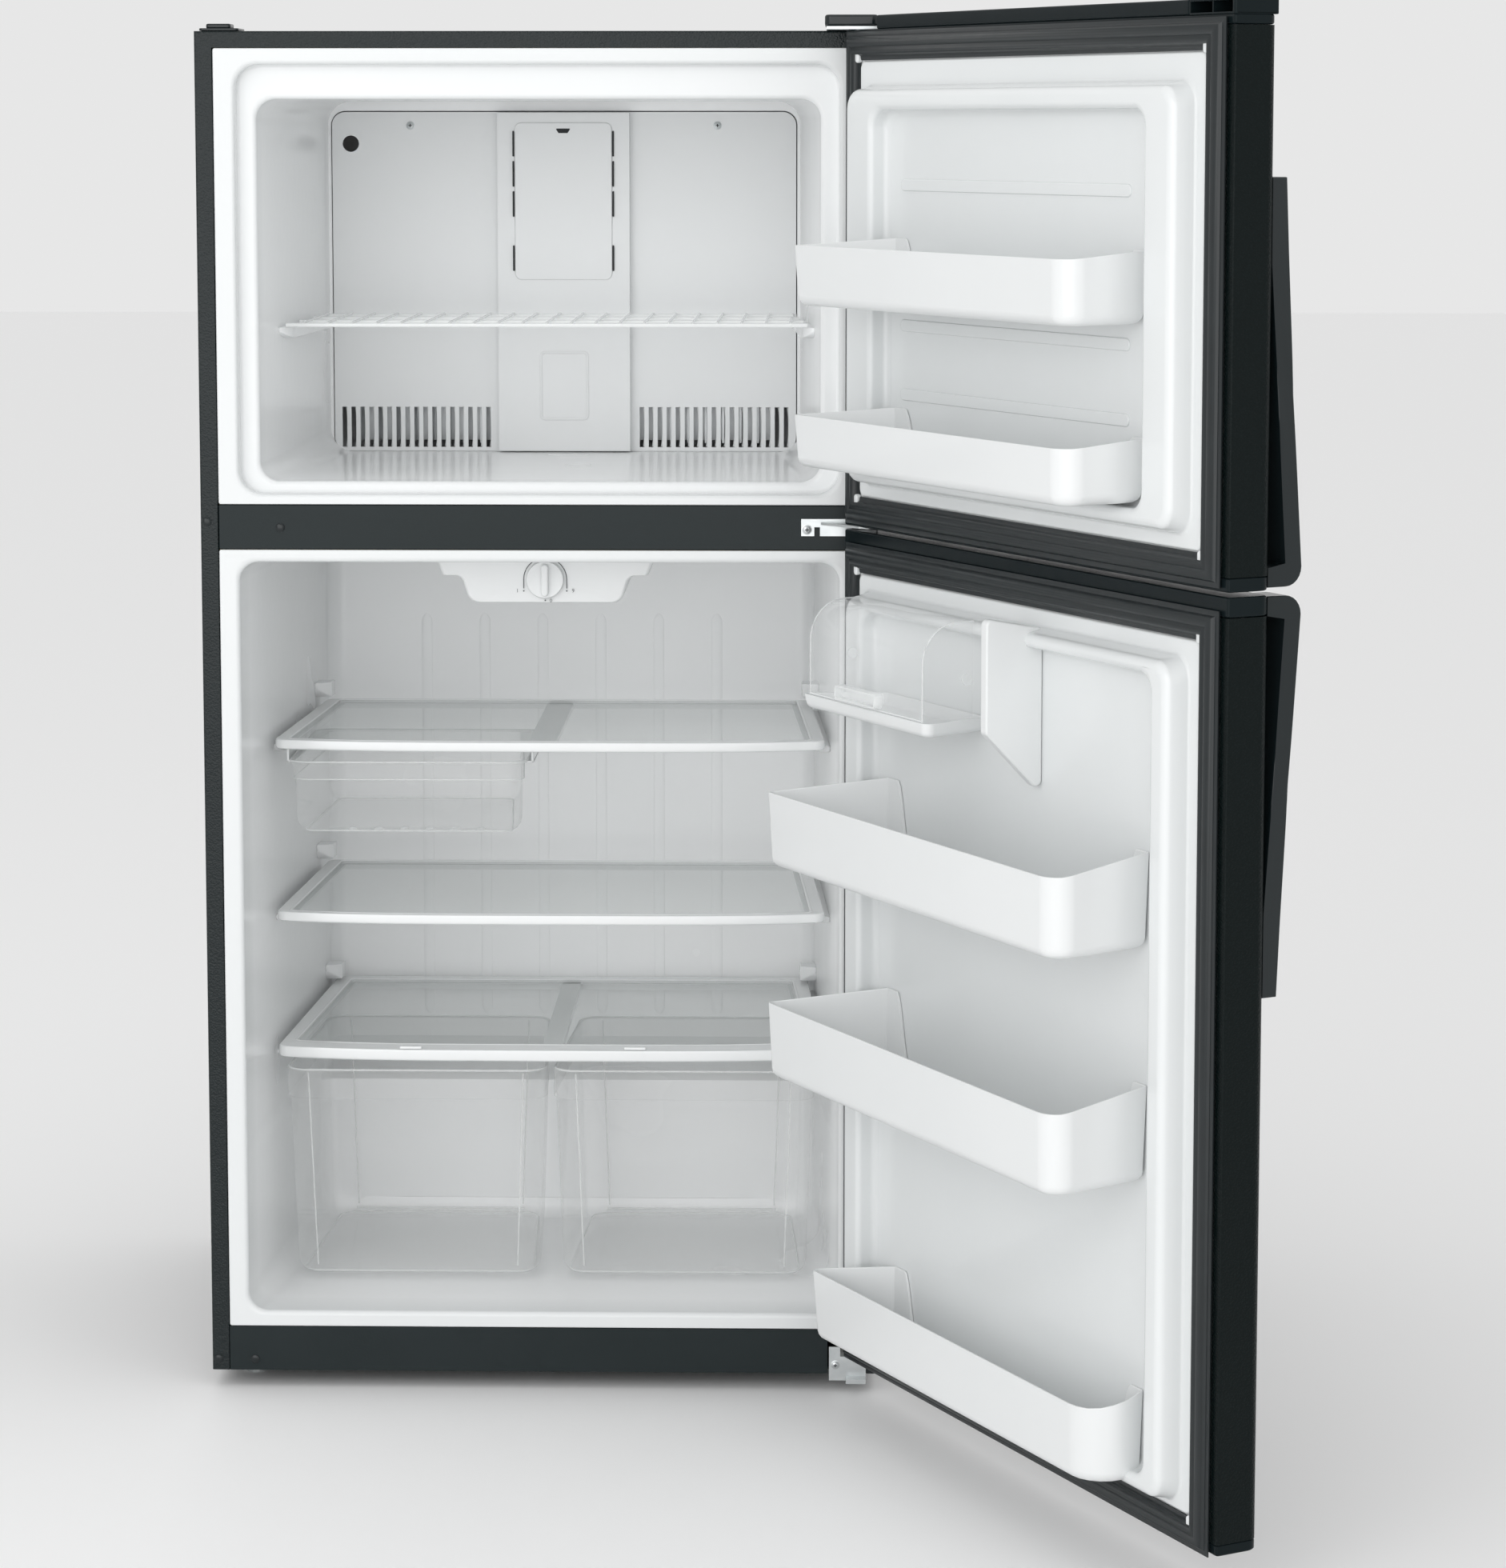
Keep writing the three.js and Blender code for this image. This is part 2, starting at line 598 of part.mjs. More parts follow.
function topHinge() {
  return join(
    block(352, 412, -60, 62, CASE_TOP + GAP, CASE_TOP + 4),
    bar("z", PIN_RADIUS, [HINGE_X, HINGE_Y, CASE_TOP - 10], 12),
  );
}

const topHingeCover = () =>
  cut(
    raised(roundedRect(350, 414, -56, 66, 8), CASE_TOP + 4.4, CASE_TOP + 18),
    raised(roundedRect(352.5, 411.5, -53.5, 63.5, 6), CASE_TOP + 3, CASE_TOP + 15.5),
  );

function centreHinge() {
  const plate = cut(
    block(322, 384, -3.2, -GAP, 1076, 1097),
    block(338, 345, -4, 1, 1070, 1087),
  );
  const arm = raised(shapeOf([[346, -GAP], [346, -6], [392, -52], [413, -52], [413, -GAP]]), 1090, 1093);
  return join(plate, arm, bar("z", PIN_RADIUS, [HINGE_X, HINGE_Y, 1077], 27));
}

function bottomHinge() {
  return join(
    block(358, 404, -3.2, -GAP, 14, 57),
    block(379, 404, -18, -GAP, 14, 20),
    raised(shapeOf([[372, -GAP], [372, -52], [413, -52], [413, -GAP]]), 56.4, 59.4),
    bar("z", PIN_RADIUS, [HINGE_X, HINGE_Y, 59], 13),
  );
}

// ---- Doors, drawn shut ----

// Plan of a door: square at the back, rounded at the two front corners
function doorPlan(margin) {
  const half = CASE_HALF - margin;
  const front = DOOR_FRONT + margin;
  const corner = 10 - margin;
  const plan = new THREE.Shape();
  plan.moveTo(half, DOOR_BACK - margin);
  plan.lineTo(-half, DOOR_BACK - margin);
  plan.lineTo(-half, front + corner);
  plan.absarc(-half + corner, front + corner, corner, Math.PI, 1.5 * Math.PI, false);
  plan.lineTo(half - corner, front);
  plan.absarc(half - corner, front + corner, corner, 1.5 * Math.PI, 2 * Math.PI, false);
  return plan;
}

function doorSkin(door) {
  return cut(
    raised(doorPlan(0), door.skinLow, door.skinTop),
    raised(doorPlan(STEEL), door.skinLow - 1, door.skinTop + 1),
    block(-402, 402, DOOR_BACK - 3, DOOR_BACK + 1, door.skinLow - 1, door.skinTop + 1),
  );
}

const pinHole = (z0, z1) => bar("z", PIN_RADIUS + GAP, [HINGE_X, HINGE_Y, z0], z1 - z0);

// The freezer door's top cap is low beside the hinge, so the hinge plate clears it
const freezerTopCap = () =>
  cut(
    raised(doorPlan(0), FREEZER_DOOR.skinTop + GAP, FREEZER_DOOR.top),
    block(342, CASE_HALF + 1, -70, 0, CASE_TOP - 1, FREEZER_DOOR.top + 1),
    pinHole(FREEZER_DOOR.skinTop - 1, CASE_TOP + 1),
  );

const plainCap = (low, top) => cut(raised(doorPlan(0), low, top), pinHole(low - 1, top + 1));

// A door liner: a thin flange, a raised frame that enters the compartment, and a recess inside that frame
const LINER = {
  flangeHalf: 401,
  padHalf: 370,
  padY: -7,
  frameHalf: 354,
  frameY: 21,
  recessY: -4,
};

function doorLiner(pad, frame, recess, recessHalf) {
  const flangeBack = DOOR_BACK + GAP;
  const wall = PLASTIC;
  const body = join(
    block(-LINER.flangeHalf, LINER.flangeHalf, flangeBack, flangeBack + 1.5, pad[0] - 30, pad[1] + 30),
    block(-LINER.padHalf, LINER.padHalf, flangeBack, LINER.padY, pad[0], pad[1]),
    block(-LINER.frameHalf, LINER.frameHalf, flangeBack, LINER.frameY, frame[0], frame[1]),
  );
  const hollow = cut(
    block(
      -LINER.frameHalf + wall, LINER.frameHalf - wall,
      flangeBack - 1, LINER.frameY - wall,
      frame[0] + wall, frame[1] - wall,
    ),
    block(
      -recessHalf - wall, recessHalf + wall,
      LINER.recessY - wall, LINER.frameY,
      recess[0] - wall, recess[1] + wall,
    ),
  );
  const pocket = block(-recessHalf, recessHalf, LINER.recessY, LINER.frameY + 1, recess[0], recess[1]);
  return cut(body, hollow, pocket);
}

const freezerDoorLiner = () => doorLiner([1133, 1652], [1150, 1622], [1172, 1594], 295);

// The fridge door's liner also carries the fin at the dairy box's side
function fridgeDoorLiner() {
  const fin = widened(
    shapeOf([[LINER.recessY - 1, 832], [69, 905], [69, 1034], [LINER.recessY - 1, 1020]]),
    -63,
    -49,
  );
  const upperEdge = block(-63, -49, LINER.recessY - 1, LINER.frameY, 990, 1010);
  return join(doorLiner([95, 1039], [104, 1020], [125, 1000], 318), fin, upperEdge);
}

// The gasket: a flat base with a raised bulb, mitred into a ring round the liner's pad
function gasket(pad) {
  const ring = (outer, inner, y0, y1) =>
    cut(
      block(-LINER.padHalf - outer, LINER.padHalf + outer, y0, y1, pad[0] - outer, pad[1] + outer),
      block(-LINER.padHalf - inner, LINER.padHalf + inner, y0 - 1, y1 + 1, pad[0] - inner, pad[1] + inner),
    );
  const base = DOOR_BACK + GAP + 1.5 + GAP;
  return join(ring(35, 1, base, base + 3), ring(26, 11, base + 2, -GAP));
}

// A handle bowed away from the door's face, from a flush end to a foot at the split between the doors.
// direction is +1 when the handle runs up from the split and -1 when it runs down.
function handle(split, direction) {
  const face = DOOR_FRONT - GAP;
  const z = (distance) => split + direction * distance;
  const side = new THREE.Shape();
  side.moveTo(face, z(427));
  side.lineTo(face - 18, z(427));
  side.quadraticCurveTo(face - 34, z(220), face - 43, z(20));
  side.quadraticCurveTo(face - 44, z(0), face - 24, z(0));
  side.lineTo(face, z(0));
  side.lineTo(face, z(20));
  side.lineTo(face - 23, z(24));
  side.quadraticCurveTo(face - 18, z(200), face, z(345));
  return widened(side, -408, -368);
}

// A door bin: flared ends, a level floor, and a rim that climbs towards the door
function doorBin(bin) {
  const plan = [
    [-bin.rearFree, bin.back],
    [bin.rearHinge, bin.back],
    [bin.frontHinge, bin.front],
    [-bin.frontFree, bin.front],
  ];
  const slope = widened(
    shapeOf([
      [bin.front + 5, bin.top],
      [bin.front + 5, bin.top + 60],
      [bin.back - 5, bin.top + 60],
      [bin.back - 5, bin.top + bin.rise],
    ]),
    -CASE_HALF,
    CASE_HALF,
  );
  return cut(tray(plan, bin.low, bin.top + bin.rise, PLASTIC), slope);
}

const FREEZER_BIN = { back: -3.6, front: 108, rearHinge: 272, frontHinge: 331, rearFree: 270, frontFree: 284, rise: 8 };
const FRIDGE_BIN = { back: -3.6, front: 131, rearHinge: 286, frontHinge: 352, rearFree: 286, frontFree: 308, rise: 16 };
const BOTTOM_BIN = { back: -3.6, front: 72, rearHinge: 264, frontHinge: 360, rearFree: 284, frontFree: 316, rise: 14 };

const DAIRY = { left: 32, right: 338, rearLeft: 56, rearRight: 290, front: 91, floor: 888, lip: 905, top: 1018 };

const dairyTray = () =>
  tray(
    [
      [DAIRY.rearLeft, -3.6],
      [DAIRY.rearRight, -3.6],
      [DAIRY.right, DAIRY.front],
      [DAIRY.left, DAIRY.front],
    ],
    DAIRY.floor,
    DAIRY.lip,
    PLASTIC,
  );

// The dairy lid: a hood with a rounded front edge, open below and at the back
function dairyLid() {
  const hood = (margin) => {
    const front = 89 - margin;
    const top = DAIRY.top - margin;
    const curve = 44 - margin;
    const side = new THREE.Shape();
    side.moveTo(22 - 2 * margin, DAIRY.lip + GAP - 2 * margin);
    side.lineTo(front, DAIRY.lip + GAP - 2 * margin);
    side.lineTo(front, top - curve);
    side.absarc(front - curve, top - curve, curve, 0, Math.PI / 2, false);
    side.lineTo(22 - 2 * margin, top);
    return side;
  };
  return cut(widened(hood(0), 46, 316), widened(hood(PLASTIC), 46 + PLASTIC, 316 - PLASTIC));
}

// ---- Assembly ----

add(cabinet, "outer_case", outerCase(), blackSteel());
add(cabinet, "back_panel", backPanel(), galvanised());
add(cabinet, "base_frame", baseFrame(), blackSteel());
add(
  cabinet,
  "mid_rail",
  block(-FLANGE_HALF + GAP, FLANGE_HALF - GAP, 0, RETURN_DEPTH, MID_RAIL_LOW, MID_RAIL_TOP),
  blackSteel(),
);
add(cabinet, "freezer_liner", freezerLiner(), whiteLiner());
add(cabinet, "fridge_liner", fridgeLiner(), whiteLiner());
add(cabinet, "cabinet_foam", cabinetFoam(), foam());

add(cabinet, "evaporator_cover", evaporatorCover(), whiteLiner());
add(cabinet, "evaporator_coil", evaporatorCoil(), aluminium());
add(cabinet, "evaporator_fan", fan("y", [0, 535, FAN_Z], 52, 4), whitePlastic());
add(cabinet, "evaporator_fan_motor", evaporatorFanMotor(), zincSteel());
add(cabinet, "wire_shelf", wireShelf(), whiteWire());

add(cabinet, "control_housing", controlHousing(), whitePlastic());
add(cabinet, "lamp_cover", lampCover(), clearPlastic());
add(cabinet, "temperature_knob", temperatureKnob(), whitePlastic());
add(cabinet, "shelf_frame_upper", upperShelfFrame(), whitePlastic());
add(cabinet, "shelf_glass_upper", shelfPane(SHELF_FRONT, SHELF_REAR, UPPER_SHELF_TOP), shelfGlass());
add(
  cabinet,
  "shelf_frame_middle",
  shelfFrame(SHELF_FRONT, SHELF_REAR, MIDDLE_SHELF_TOP, SHELF_HEIGHT),
  whitePlastic(),
);
add(cabinet, "shelf_glass_middle", shelfPane(SHELF_FRONT, SHELF_REAR, MIDDLE_SHELF_TOP), shelfGlass());
add(cabinet, "crisper_cover_frame", crisperCoverFrame(), whitePlastic());
add(cabinet, "crisper_cover_glass", shelfPane(SHELF_FRONT, COVER_REAR, COVER_TOP), shelfGlass());
add(cabinet, "humidity_slider_left", humiditySlider(-178), whitePlastic());
add(cabinet, "humidity_slider_right", humiditySlider(109), whitePlastic());
add(cabinet, "crisper_left", crisper(-1), clearPlastic());
add(cabinet, "crisper_right", crisper(1), clearPlastic());
add(cabinet, "snack_pan", snackPan(), clearPlastic());

add(cabinet, "compressor", compressor(), blackPlastic());
add(cabinet, "condenser_coil", condenserCoil(), copper());
add(
  cabinet,
  "condenser_fan",
  fan("x", [CONDENSER_FAN.x, CONDENSER_FAN.y, CONDENSER_FAN.z], 62, 5),
  blackPlastic(),
);
add(cabinet, "condenser_fan_motor", condenserFanMotor(), zincSteel());
add(cabinet, "drain_pan", drainPan(), blackPlastic());
add(cabinet, "compressor_cover", compressorCover(), board());
add(cabinet, "cord_gland", cordGland(), blackPlastic());

add(cabinet, "top_hinge", topHinge(), zincSteel());
add(cabinet, "top_hinge_cover", topHingeCover(), blackPlastic());
add(cabinet, "centre_hinge", centreHinge(), zincSteel());
add(cabinet, "bottom_hinge", bottomHinge(), zincSteel());
for (const [word, side] of [["left", -1], ["right", 1]]) {
  add(cabinet, `levelling_leg_${word}`, levellingLeg(side), zincSteel());
  add(cabinet, `roller_${word}`, roller(side), blackPlastic());
}

add(freezerDoor, "freezer_door_skin", doorSkin(FREEZER_DOOR), blackSteel());
add(freezerDoor, "freezer_door_top_cap", freezerTopCap(), blackPlastic());
add(freezerDoor, "freezer_door_bottom_cap", plainCap(FREEZER_DOOR.low, FREEZER_DOOR.skinLow - GAP), blackPlastic());
add(freezerDoor, "freezer_door_liner", freezerDoorLiner(), whiteLiner());
add(freezerDoor, "freezer_door_gasket", gasket([1133, 1652]), gasketRubber());
add(freezerDoor, "freezer_door_handle", handle(1096, 1), blackPlastic());
add(freezerDoor, "freezer_bin_upper", doorBin({ ...FREEZER_BIN, low: 1366, top: 1437 }), whitePlastic());
add(freezerDoor, "freezer_bin_lower", doorBin({ ...FREEZER_BIN, low: 1176, top: 1238 }), whitePlastic());

add(fridgeDoor, "fridge_door_skin", doorSkin(FRIDGE_DOOR), blackSteel());
add(fridgeDoor, "fridge_door_top_cap", plainCap(FRIDGE_DOOR.skinTop + GAP, FRIDGE_DOOR.top), blackPlastic());
add(fridgeDoor, "fridge_door_bottom_cap", plainCap(FRIDGE_DOOR.low, FRIDGE_DOOR.skinLow - GAP), blackPlastic());
add(fridgeDoor, "fridge_door_liner", fridgeDoorLiner(), whiteLiner());
add(fridgeDoor, "fridge_door_gasket", gasket([95, 1039]), gasketRubber());
add(fridgeDoor, "fridge_door_handle", handle(1087, -1), blackPlastic());
add(fridgeDoor, "fridge_bin_upper", doorBin({ ...FRIDGE_BIN, low: 697, top: 787 }), whitePlastic());
add(fridgeDoor, "fridge_bin_middle", doorBin({ ...FRIDGE_BIN, low: 441, top: 532 }), whitePlastic());
add(fridgeDoor, "fridge_bin_lower", doorBin({ ...BOTTOM_BIN, low: 128, top: 206 }), whitePlastic());
add(fridgeDoor, "dairy_tray", dairyTray(), whitePlastic());
add(fridgeDoor, "dairy_lid", dairyLid(), clearPlastic());

// Each door turns about its hinge pins
for (const door of [freezerDoor, fridgeDoor]) {
  const swing = new THREE.Group();
  swing.position.set(HINGE_X, HINGE_Y, 0);
  swing.rotation.z = OPEN_ANGLE;
  door.position.set(-HINGE_X, -HINGE_Y, 0);
  swing.add(door);
  cabinet.add(swing);
}

// The origin: on the floor, under the centre of the whole object's box
const extent = new THREE.Box3().setFromObject(cabinet, true);
const centre = extent.getCenter(new THREE.Vector3());
cabinet.position.set(-centre.x, -centre.y, -extent.min.z);

const refrigerator = new THREE.Group();
refrigerator.add(cabinet);

export default refrigerator;
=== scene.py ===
"""A top freezer refrigerator with both doors open: the look of every part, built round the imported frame.

Pieces are drawn in millimetres in the cabinet's own frame: x = 0 on the centre line, y = 0 on the case's
front, z = 0 on the floor. Door pieces are drawn with the door shut and then turned about the hinge pins.
"""

import json
import math

import bmesh
import bpy
import numpy as np
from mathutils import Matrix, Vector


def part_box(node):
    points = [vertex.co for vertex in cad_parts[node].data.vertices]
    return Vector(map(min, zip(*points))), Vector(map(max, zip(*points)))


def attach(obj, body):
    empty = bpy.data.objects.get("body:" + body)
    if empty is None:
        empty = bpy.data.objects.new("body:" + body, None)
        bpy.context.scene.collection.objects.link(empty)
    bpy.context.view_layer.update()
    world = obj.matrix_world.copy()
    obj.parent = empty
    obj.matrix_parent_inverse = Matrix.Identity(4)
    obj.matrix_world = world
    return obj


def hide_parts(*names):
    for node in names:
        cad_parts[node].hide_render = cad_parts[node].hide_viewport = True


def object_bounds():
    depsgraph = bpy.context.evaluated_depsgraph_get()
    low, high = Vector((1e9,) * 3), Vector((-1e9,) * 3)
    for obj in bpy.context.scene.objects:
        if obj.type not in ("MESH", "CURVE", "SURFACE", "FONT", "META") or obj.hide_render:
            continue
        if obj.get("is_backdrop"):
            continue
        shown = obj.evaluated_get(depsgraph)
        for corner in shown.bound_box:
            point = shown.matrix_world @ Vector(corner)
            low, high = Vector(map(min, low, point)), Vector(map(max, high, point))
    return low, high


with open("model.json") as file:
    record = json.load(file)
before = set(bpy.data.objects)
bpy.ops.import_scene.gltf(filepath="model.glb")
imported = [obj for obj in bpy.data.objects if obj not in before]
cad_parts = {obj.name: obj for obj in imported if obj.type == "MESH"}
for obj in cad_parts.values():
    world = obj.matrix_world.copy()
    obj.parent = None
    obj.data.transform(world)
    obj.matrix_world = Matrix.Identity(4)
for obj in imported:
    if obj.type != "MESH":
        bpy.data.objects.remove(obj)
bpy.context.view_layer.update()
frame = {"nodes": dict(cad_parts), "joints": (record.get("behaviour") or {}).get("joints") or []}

# ---------------------------------------------------------------- where things are

case_low, case_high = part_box("outer_case")
CENTRE = np.array([(case_low.x + case_high.x) / 2, case_low.y, 0.0])
DOOR_HINGE = next(j for j in frame["joints"] if j["name"] == "fridge_door_hinge")
PIN = np.array(DOOR_HINGE["pos_m"][:2])
OPENING = math.radians(-DOOR_HINGE["range_deg"][0])
BACK = (case_high.y - case_low.y) * 1000


def in_cabinet(points):
    """Millimetres in the cabinet's frame, to metres in the row frame."""
    return np.asarray(points, float) / 1000 + CENTRE


def on_door(points):
    """The same for a shut door, then turned about the hinge pins by the opening angle."""
    placed = in_cabinet(points)
    x, y = placed[..., 0] - PIN[0], placed[..., 1] - PIN[1]
    cos, sin = math.cos(OPENING), math.sin(OPENING)
    return np.stack([PIN[0] + x * cos - y * sin, PIN[1] + x * sin + y * cos, placed[..., 2]], -1)


# ---------------------------------------------------------------- shader maths


class Wire:
    """A node's output socket; arithmetic on it adds Math nodes."""

    def __init__(self, finish, socket):
        self.finish = finish
        self.socket = socket

    def math(self, operation, *values):
        """One Math node over the given values."""
        node = self.finish.node("ShaderNodeMath", {"operation": operation}, dict(enumerate(values)))
        return node[0]

    def __add__(self, other):
        return self.math("ADD", self, other)

    def __sub__(self, other):
        return self.math("SUBTRACT", self, other)

    def __rsub__(self, other):
        return self.math("SUBTRACT", other, self)

    def __mul__(self, other):
        return self.math("MULTIPLY", self, other)

    def __truediv__(self, other):
        return self.math("DIVIDE", self, other)

    def __pow__(self, other):
        return self.math("POWER", self, other)

    __radd__ = __add__
    __rmul__ = __mul__


class Node:
    """A shader node whose outputs are read by name or number."""

    def __init__(self, finish, node):
        self.finish = finish
        self.node = node

    def __getitem__(self, key):
        return Wire(self.finish, self.node.outputs[key])


class Finish:
    """A node material under construction; at is the object position in metres."""

    def __init__(self, name):
        self.material = bpy.data.materials.new(name)
        self.material.use_nodes = True
        self.tree = self.material.node_tree
        self.tree.nodes.clear()
        self.at = self.node("ShaderNodeTexCoord")["Object"]

    def node(self, kind, settings=None, inputs=None):
        """Adds a node with its settings, and links or fills its inputs."""
        made = self.tree.nodes.new(kind)
        for key, value in (settings or {}).items():
            if key == "stops":
                ramp = made.color_ramp.elements
                ramp[0].position, ramp[0].color = value[0]
                ramp[1].position, ramp[1].color = value[1]
            else:
                setattr(made, key, value)
        for key, value in (inputs or {}).items():
            if isinstance(value, Wire):
                self.tree.links.new(value.socket, made.inputs[key])
            else:
                made.inputs[key].default_value = value
        return Node(self, made)

    def stretched(self, x, y, z):
        """The position, scaled along each axis."""
        scaled = self.node("ShaderNodeMapping", {}, {"Vector": self.at, "Scale": (x, y, z)})
        return scaled["Vector"]

    def noise(self, scale, detail=2.0, at=None, roughness=0.5):
        """Smooth noise at the given scale per metre."""
        inputs = {"Vector": at or self.at, "Scale": scale, "Detail": detail, "Roughness": roughness}
        return self.node("ShaderNodeTexNoise", {}, inputs)["Fac"]

    def cells(self, scale, feature="F1", smoothness=None):
        """Distance to the nearest of a field of scattered points."""
        inputs = {"Vector": self.at, "Scale": scale}
        if smoothness is not None:
            inputs["Smoothness"] = smoothness
        return self.node("ShaderNodeTexVoronoi", {"feature": feature}, inputs)["Distance"]

    def blend(self, factor, first, second):
        """A colour between the first and the second."""
        mixed = self.node("ShaderNodeMix", {"data_type": "RGBA"}, {0: factor, 6: first, 7: second})
        return mixed[2]

    def facing(self, power):
        """How far the surface turns away from the eye, 0 to 1."""
        return self.node("ShaderNodeLayerWeight", {}, {"Blend": power})["Facing"]

    def bump(self, height, distance, strength=1.0):
        """A normal disturbed by a height, in metres."""
        inputs = {"Height": height, "Distance": distance, "Strength": strength}
        return self.node("ShaderNodeBump", {}, inputs)["Normal"]

    def surface(self, **inputs):
        """The finished surface, with underscores for spaces in its input names."""
        sockets = {key.replace("_", " "): value for key, value in inputs.items()}
        shader = self.node("ShaderNodeBsdfPrincipled", {}, sockets)
        self.node("ShaderNodeOutputMaterial", {}, {"Surface": shader["BSDF"]})
        return self.material


def rgb(red, green, blue):
    """A colour with full opacity."""
    return (red, green, blue, 1.0)


def pebbled_black_steel(name, low, high, shine):
    """Black painted sheet, rolled with a leather-like pebble grain, its colour lighter on the crests and
    darker in the hollows as painted highlight and painted shade.
    """
    f = Finish(name)
    warp = f.noise(180, 2)
    pebble = f.cells(430, "SMOOTH_F1", 0.35) + warp * 0.5
    fine = f.noise(2600, 1)
    height = (1 - pebble) + fine * 0.1
    tone = f.noise(4, 2)
    # Painted highlight and painted shade: the pebbles' crests get the lighter colour, the hollows the
    # darker.
    crest = (1 - pebble) ** 2.0
    return f.surface(
        Base_Color=f.blend(crest * 0.7, rgb(*low), rgb(*high)),
        Roughness=0.28 + tone * 0.1,
        Normal=f.bump(height, 0.0005, 0.9),
        Specular_IOR_Level=shine,
    )


def smooth_black_steel():
    """Black paint on flat sheet, with a faint orange peel."""
    f = Finish("smooth black steel")
    peel = f.noise(330, 2)
    tone = f.noise(7, 3)
    return f.surface(
        Base_Color=f.blend(tone, rgb(0.008, 0.014, 0.015), rgb(0.014, 0.021, 0.023)),
        Roughness=0.32 + tone * 0.12,
        Normal=f.bump(peel, 0.00008),
        Specular_IOR_Level=0.24,
    )


def black_gloss_plastic(name, shine):
    """Moulded black plastic with a soft shine and a trace of flow marks."""
    f = Finish(name)
    flow = f.noise(1, 3, f.stretched(9, 9, 3))
    grain = f.noise(1400, 2)
    return f.surface(
        Base_Color=f.blend(flow, rgb(0.004, 0.008, 0.009), rgb(0.009, 0.014, 0.016)),
        Roughness=0.17 + flow * 0.12,
        Normal=f.bump(grain, 0.00003),
        Specular_IOR_Level=shine,
    )


def gasket_rubber():
    """Soft black extrusion with fine lengthwise lines and a waxy shine."""
    f = Finish("gasket rubber")
    bloom = f.noise(40, 4)
    grain = f.noise(900, 2)
    return f.surface(
        Base_Color=f.blend(bloom, rgb(0.004, 0.007, 0.008), rgb(0.010, 0.015, 0.017)),
        Roughness=0.28 + bloom * 0.16,
        Normal=f.bump(grain, 0.00006),
    )


def white_plastic(name, low, high, roughness, coat, ripple):
    """Moulded white plastic: a slightly uneven gloss over a faint ripple, greyer in its blotches."""
    f = Finish(name)
    cloud = f.noise(3.5, 3)
    peel = f.noise(55, 2)
    return f.surface(
        Base_Color=f.blend(cloud, rgb(*low), rgb(*high)),
        Roughness=roughness + cloud * 0.08,
        Normal=f.bump(peel, ripple),
        Coat_Weight=coat,
        Coat_Roughness=0.08,
    )


def compartment_white_painted_light():
    """Liner plastic whose colour goes from grey at the flange by the door to a lighter white inside the
    compartments, as painted light, with a faint ripple.
    """
    f = Finish("compartment white with painted interior light")
    cloud = f.noise(3.5, 3)
    deep = f.node("ShaderNodeSeparateXYZ", {}, {0: f.at})["Y"]
    # Painted light: the colour turns lighter with depth, standing in for more light inside the
    # compartments.
    inside = f.node("ShaderNodeClamp", {}, {"Value": (deep - 0.01) * 12.0})[0]
    flange = f.blend(cloud, rgb(0.70, 0.722, 0.725), rgb(0.735, 0.755, 0.76))
    painted_bright_cavity = f.blend(cloud, rgb(0.93, 0.945, 0.95), rgb(0.955, 0.962, 0.965))
    return f.surface(
        Base_Color=f.blend(inside, flange, painted_bright_cavity),
        Roughness=0.22 + cloud * 0.08,
        Normal=f.bump(f.noise(55, 2), 0.00012),
        Coat_Weight=0.15,
        Coat_Roughness=0.08,
    )


def clear_plastic(name, tint, body, edge):
    """Clear moulded plastic: nearly open when seen square on, milky at its edges."""
    f = Finish(name)
    wave = f.noise(30, 2)
    rim = f.facing(0.45)
    return f.surface(
        Base_Color=f.blend(wave, rgb(*tint), rgb(0.97, 0.985, 0.985)),
        Roughness=0.06 + wave * 0.05,
        Alpha=body + (rim**1.9) * edge,
        Normal=f.bump(wave, 0.0004),
        Specular_IOR_Level=0.7,
    )


def shelf_glass():
    """Float glass: open from above, with a grey-green cast and a bright low-angle sheen."""
    f = Finish("shelf glass")
    haze = f.noise(6, 3)
    rim = f.facing(0.5)
    return f.surface(
        Base_Color=f.blend(haze, rgb(0.72, 0.78, 0.77), rgb(0.8, 0.85, 0.84)),
        Roughness=0.03 + haze * 0.04,
        Alpha=0.1 + (rim**3.0) * 0.25,
        Specular_IOR_Level=0.6,
    )


def plated_steel(name, low, high, roughness, scale):
    """Zinc plated sheet with a fine drawn grain and cloudy passivation."""
    f = Finish(name)
    cloud = f.noise(scale, 4)
    drawn = f.noise(1, 2, f.stretched(120, 1800, 1800))
    return f.surface(
        Base_Color=f.blend(cloud, rgb(*low), rgb(*high)),
        Metallic=0.9,
        Roughness=roughness + drawn * 0.15,
        Normal=f.bump(drawn, 0.00005),
    )


def coarse_matte(name, low, high, scale, roughness, depth):
    """An unfinished surface: a two-tone mottle with an open grain."""
    f = Finish(name)
    mottle = f.noise(scale, 5, roughness=0.65)
    return f.surface(
        Base_Color=f.blend(mottle, rgb(*low), rgb(*high)),
        Roughness=roughness,
        Normal=f.bump(mottle, depth),
    )


def wound_metal(name, low, high, roughness):
    """Bare tube or fin metal, dulled unevenly."""
    f = Finish(name)
    tarnish = f.noise(30, 5)
    return f.surface(
        Base_Color=f.blend(tarnish, rgb(*low), rgb(*high)),
        Metallic=1.0,
        Roughness=roughness + tarnish * 0.2,
        Normal=f.bump(tarnish, 0.0001),
    )


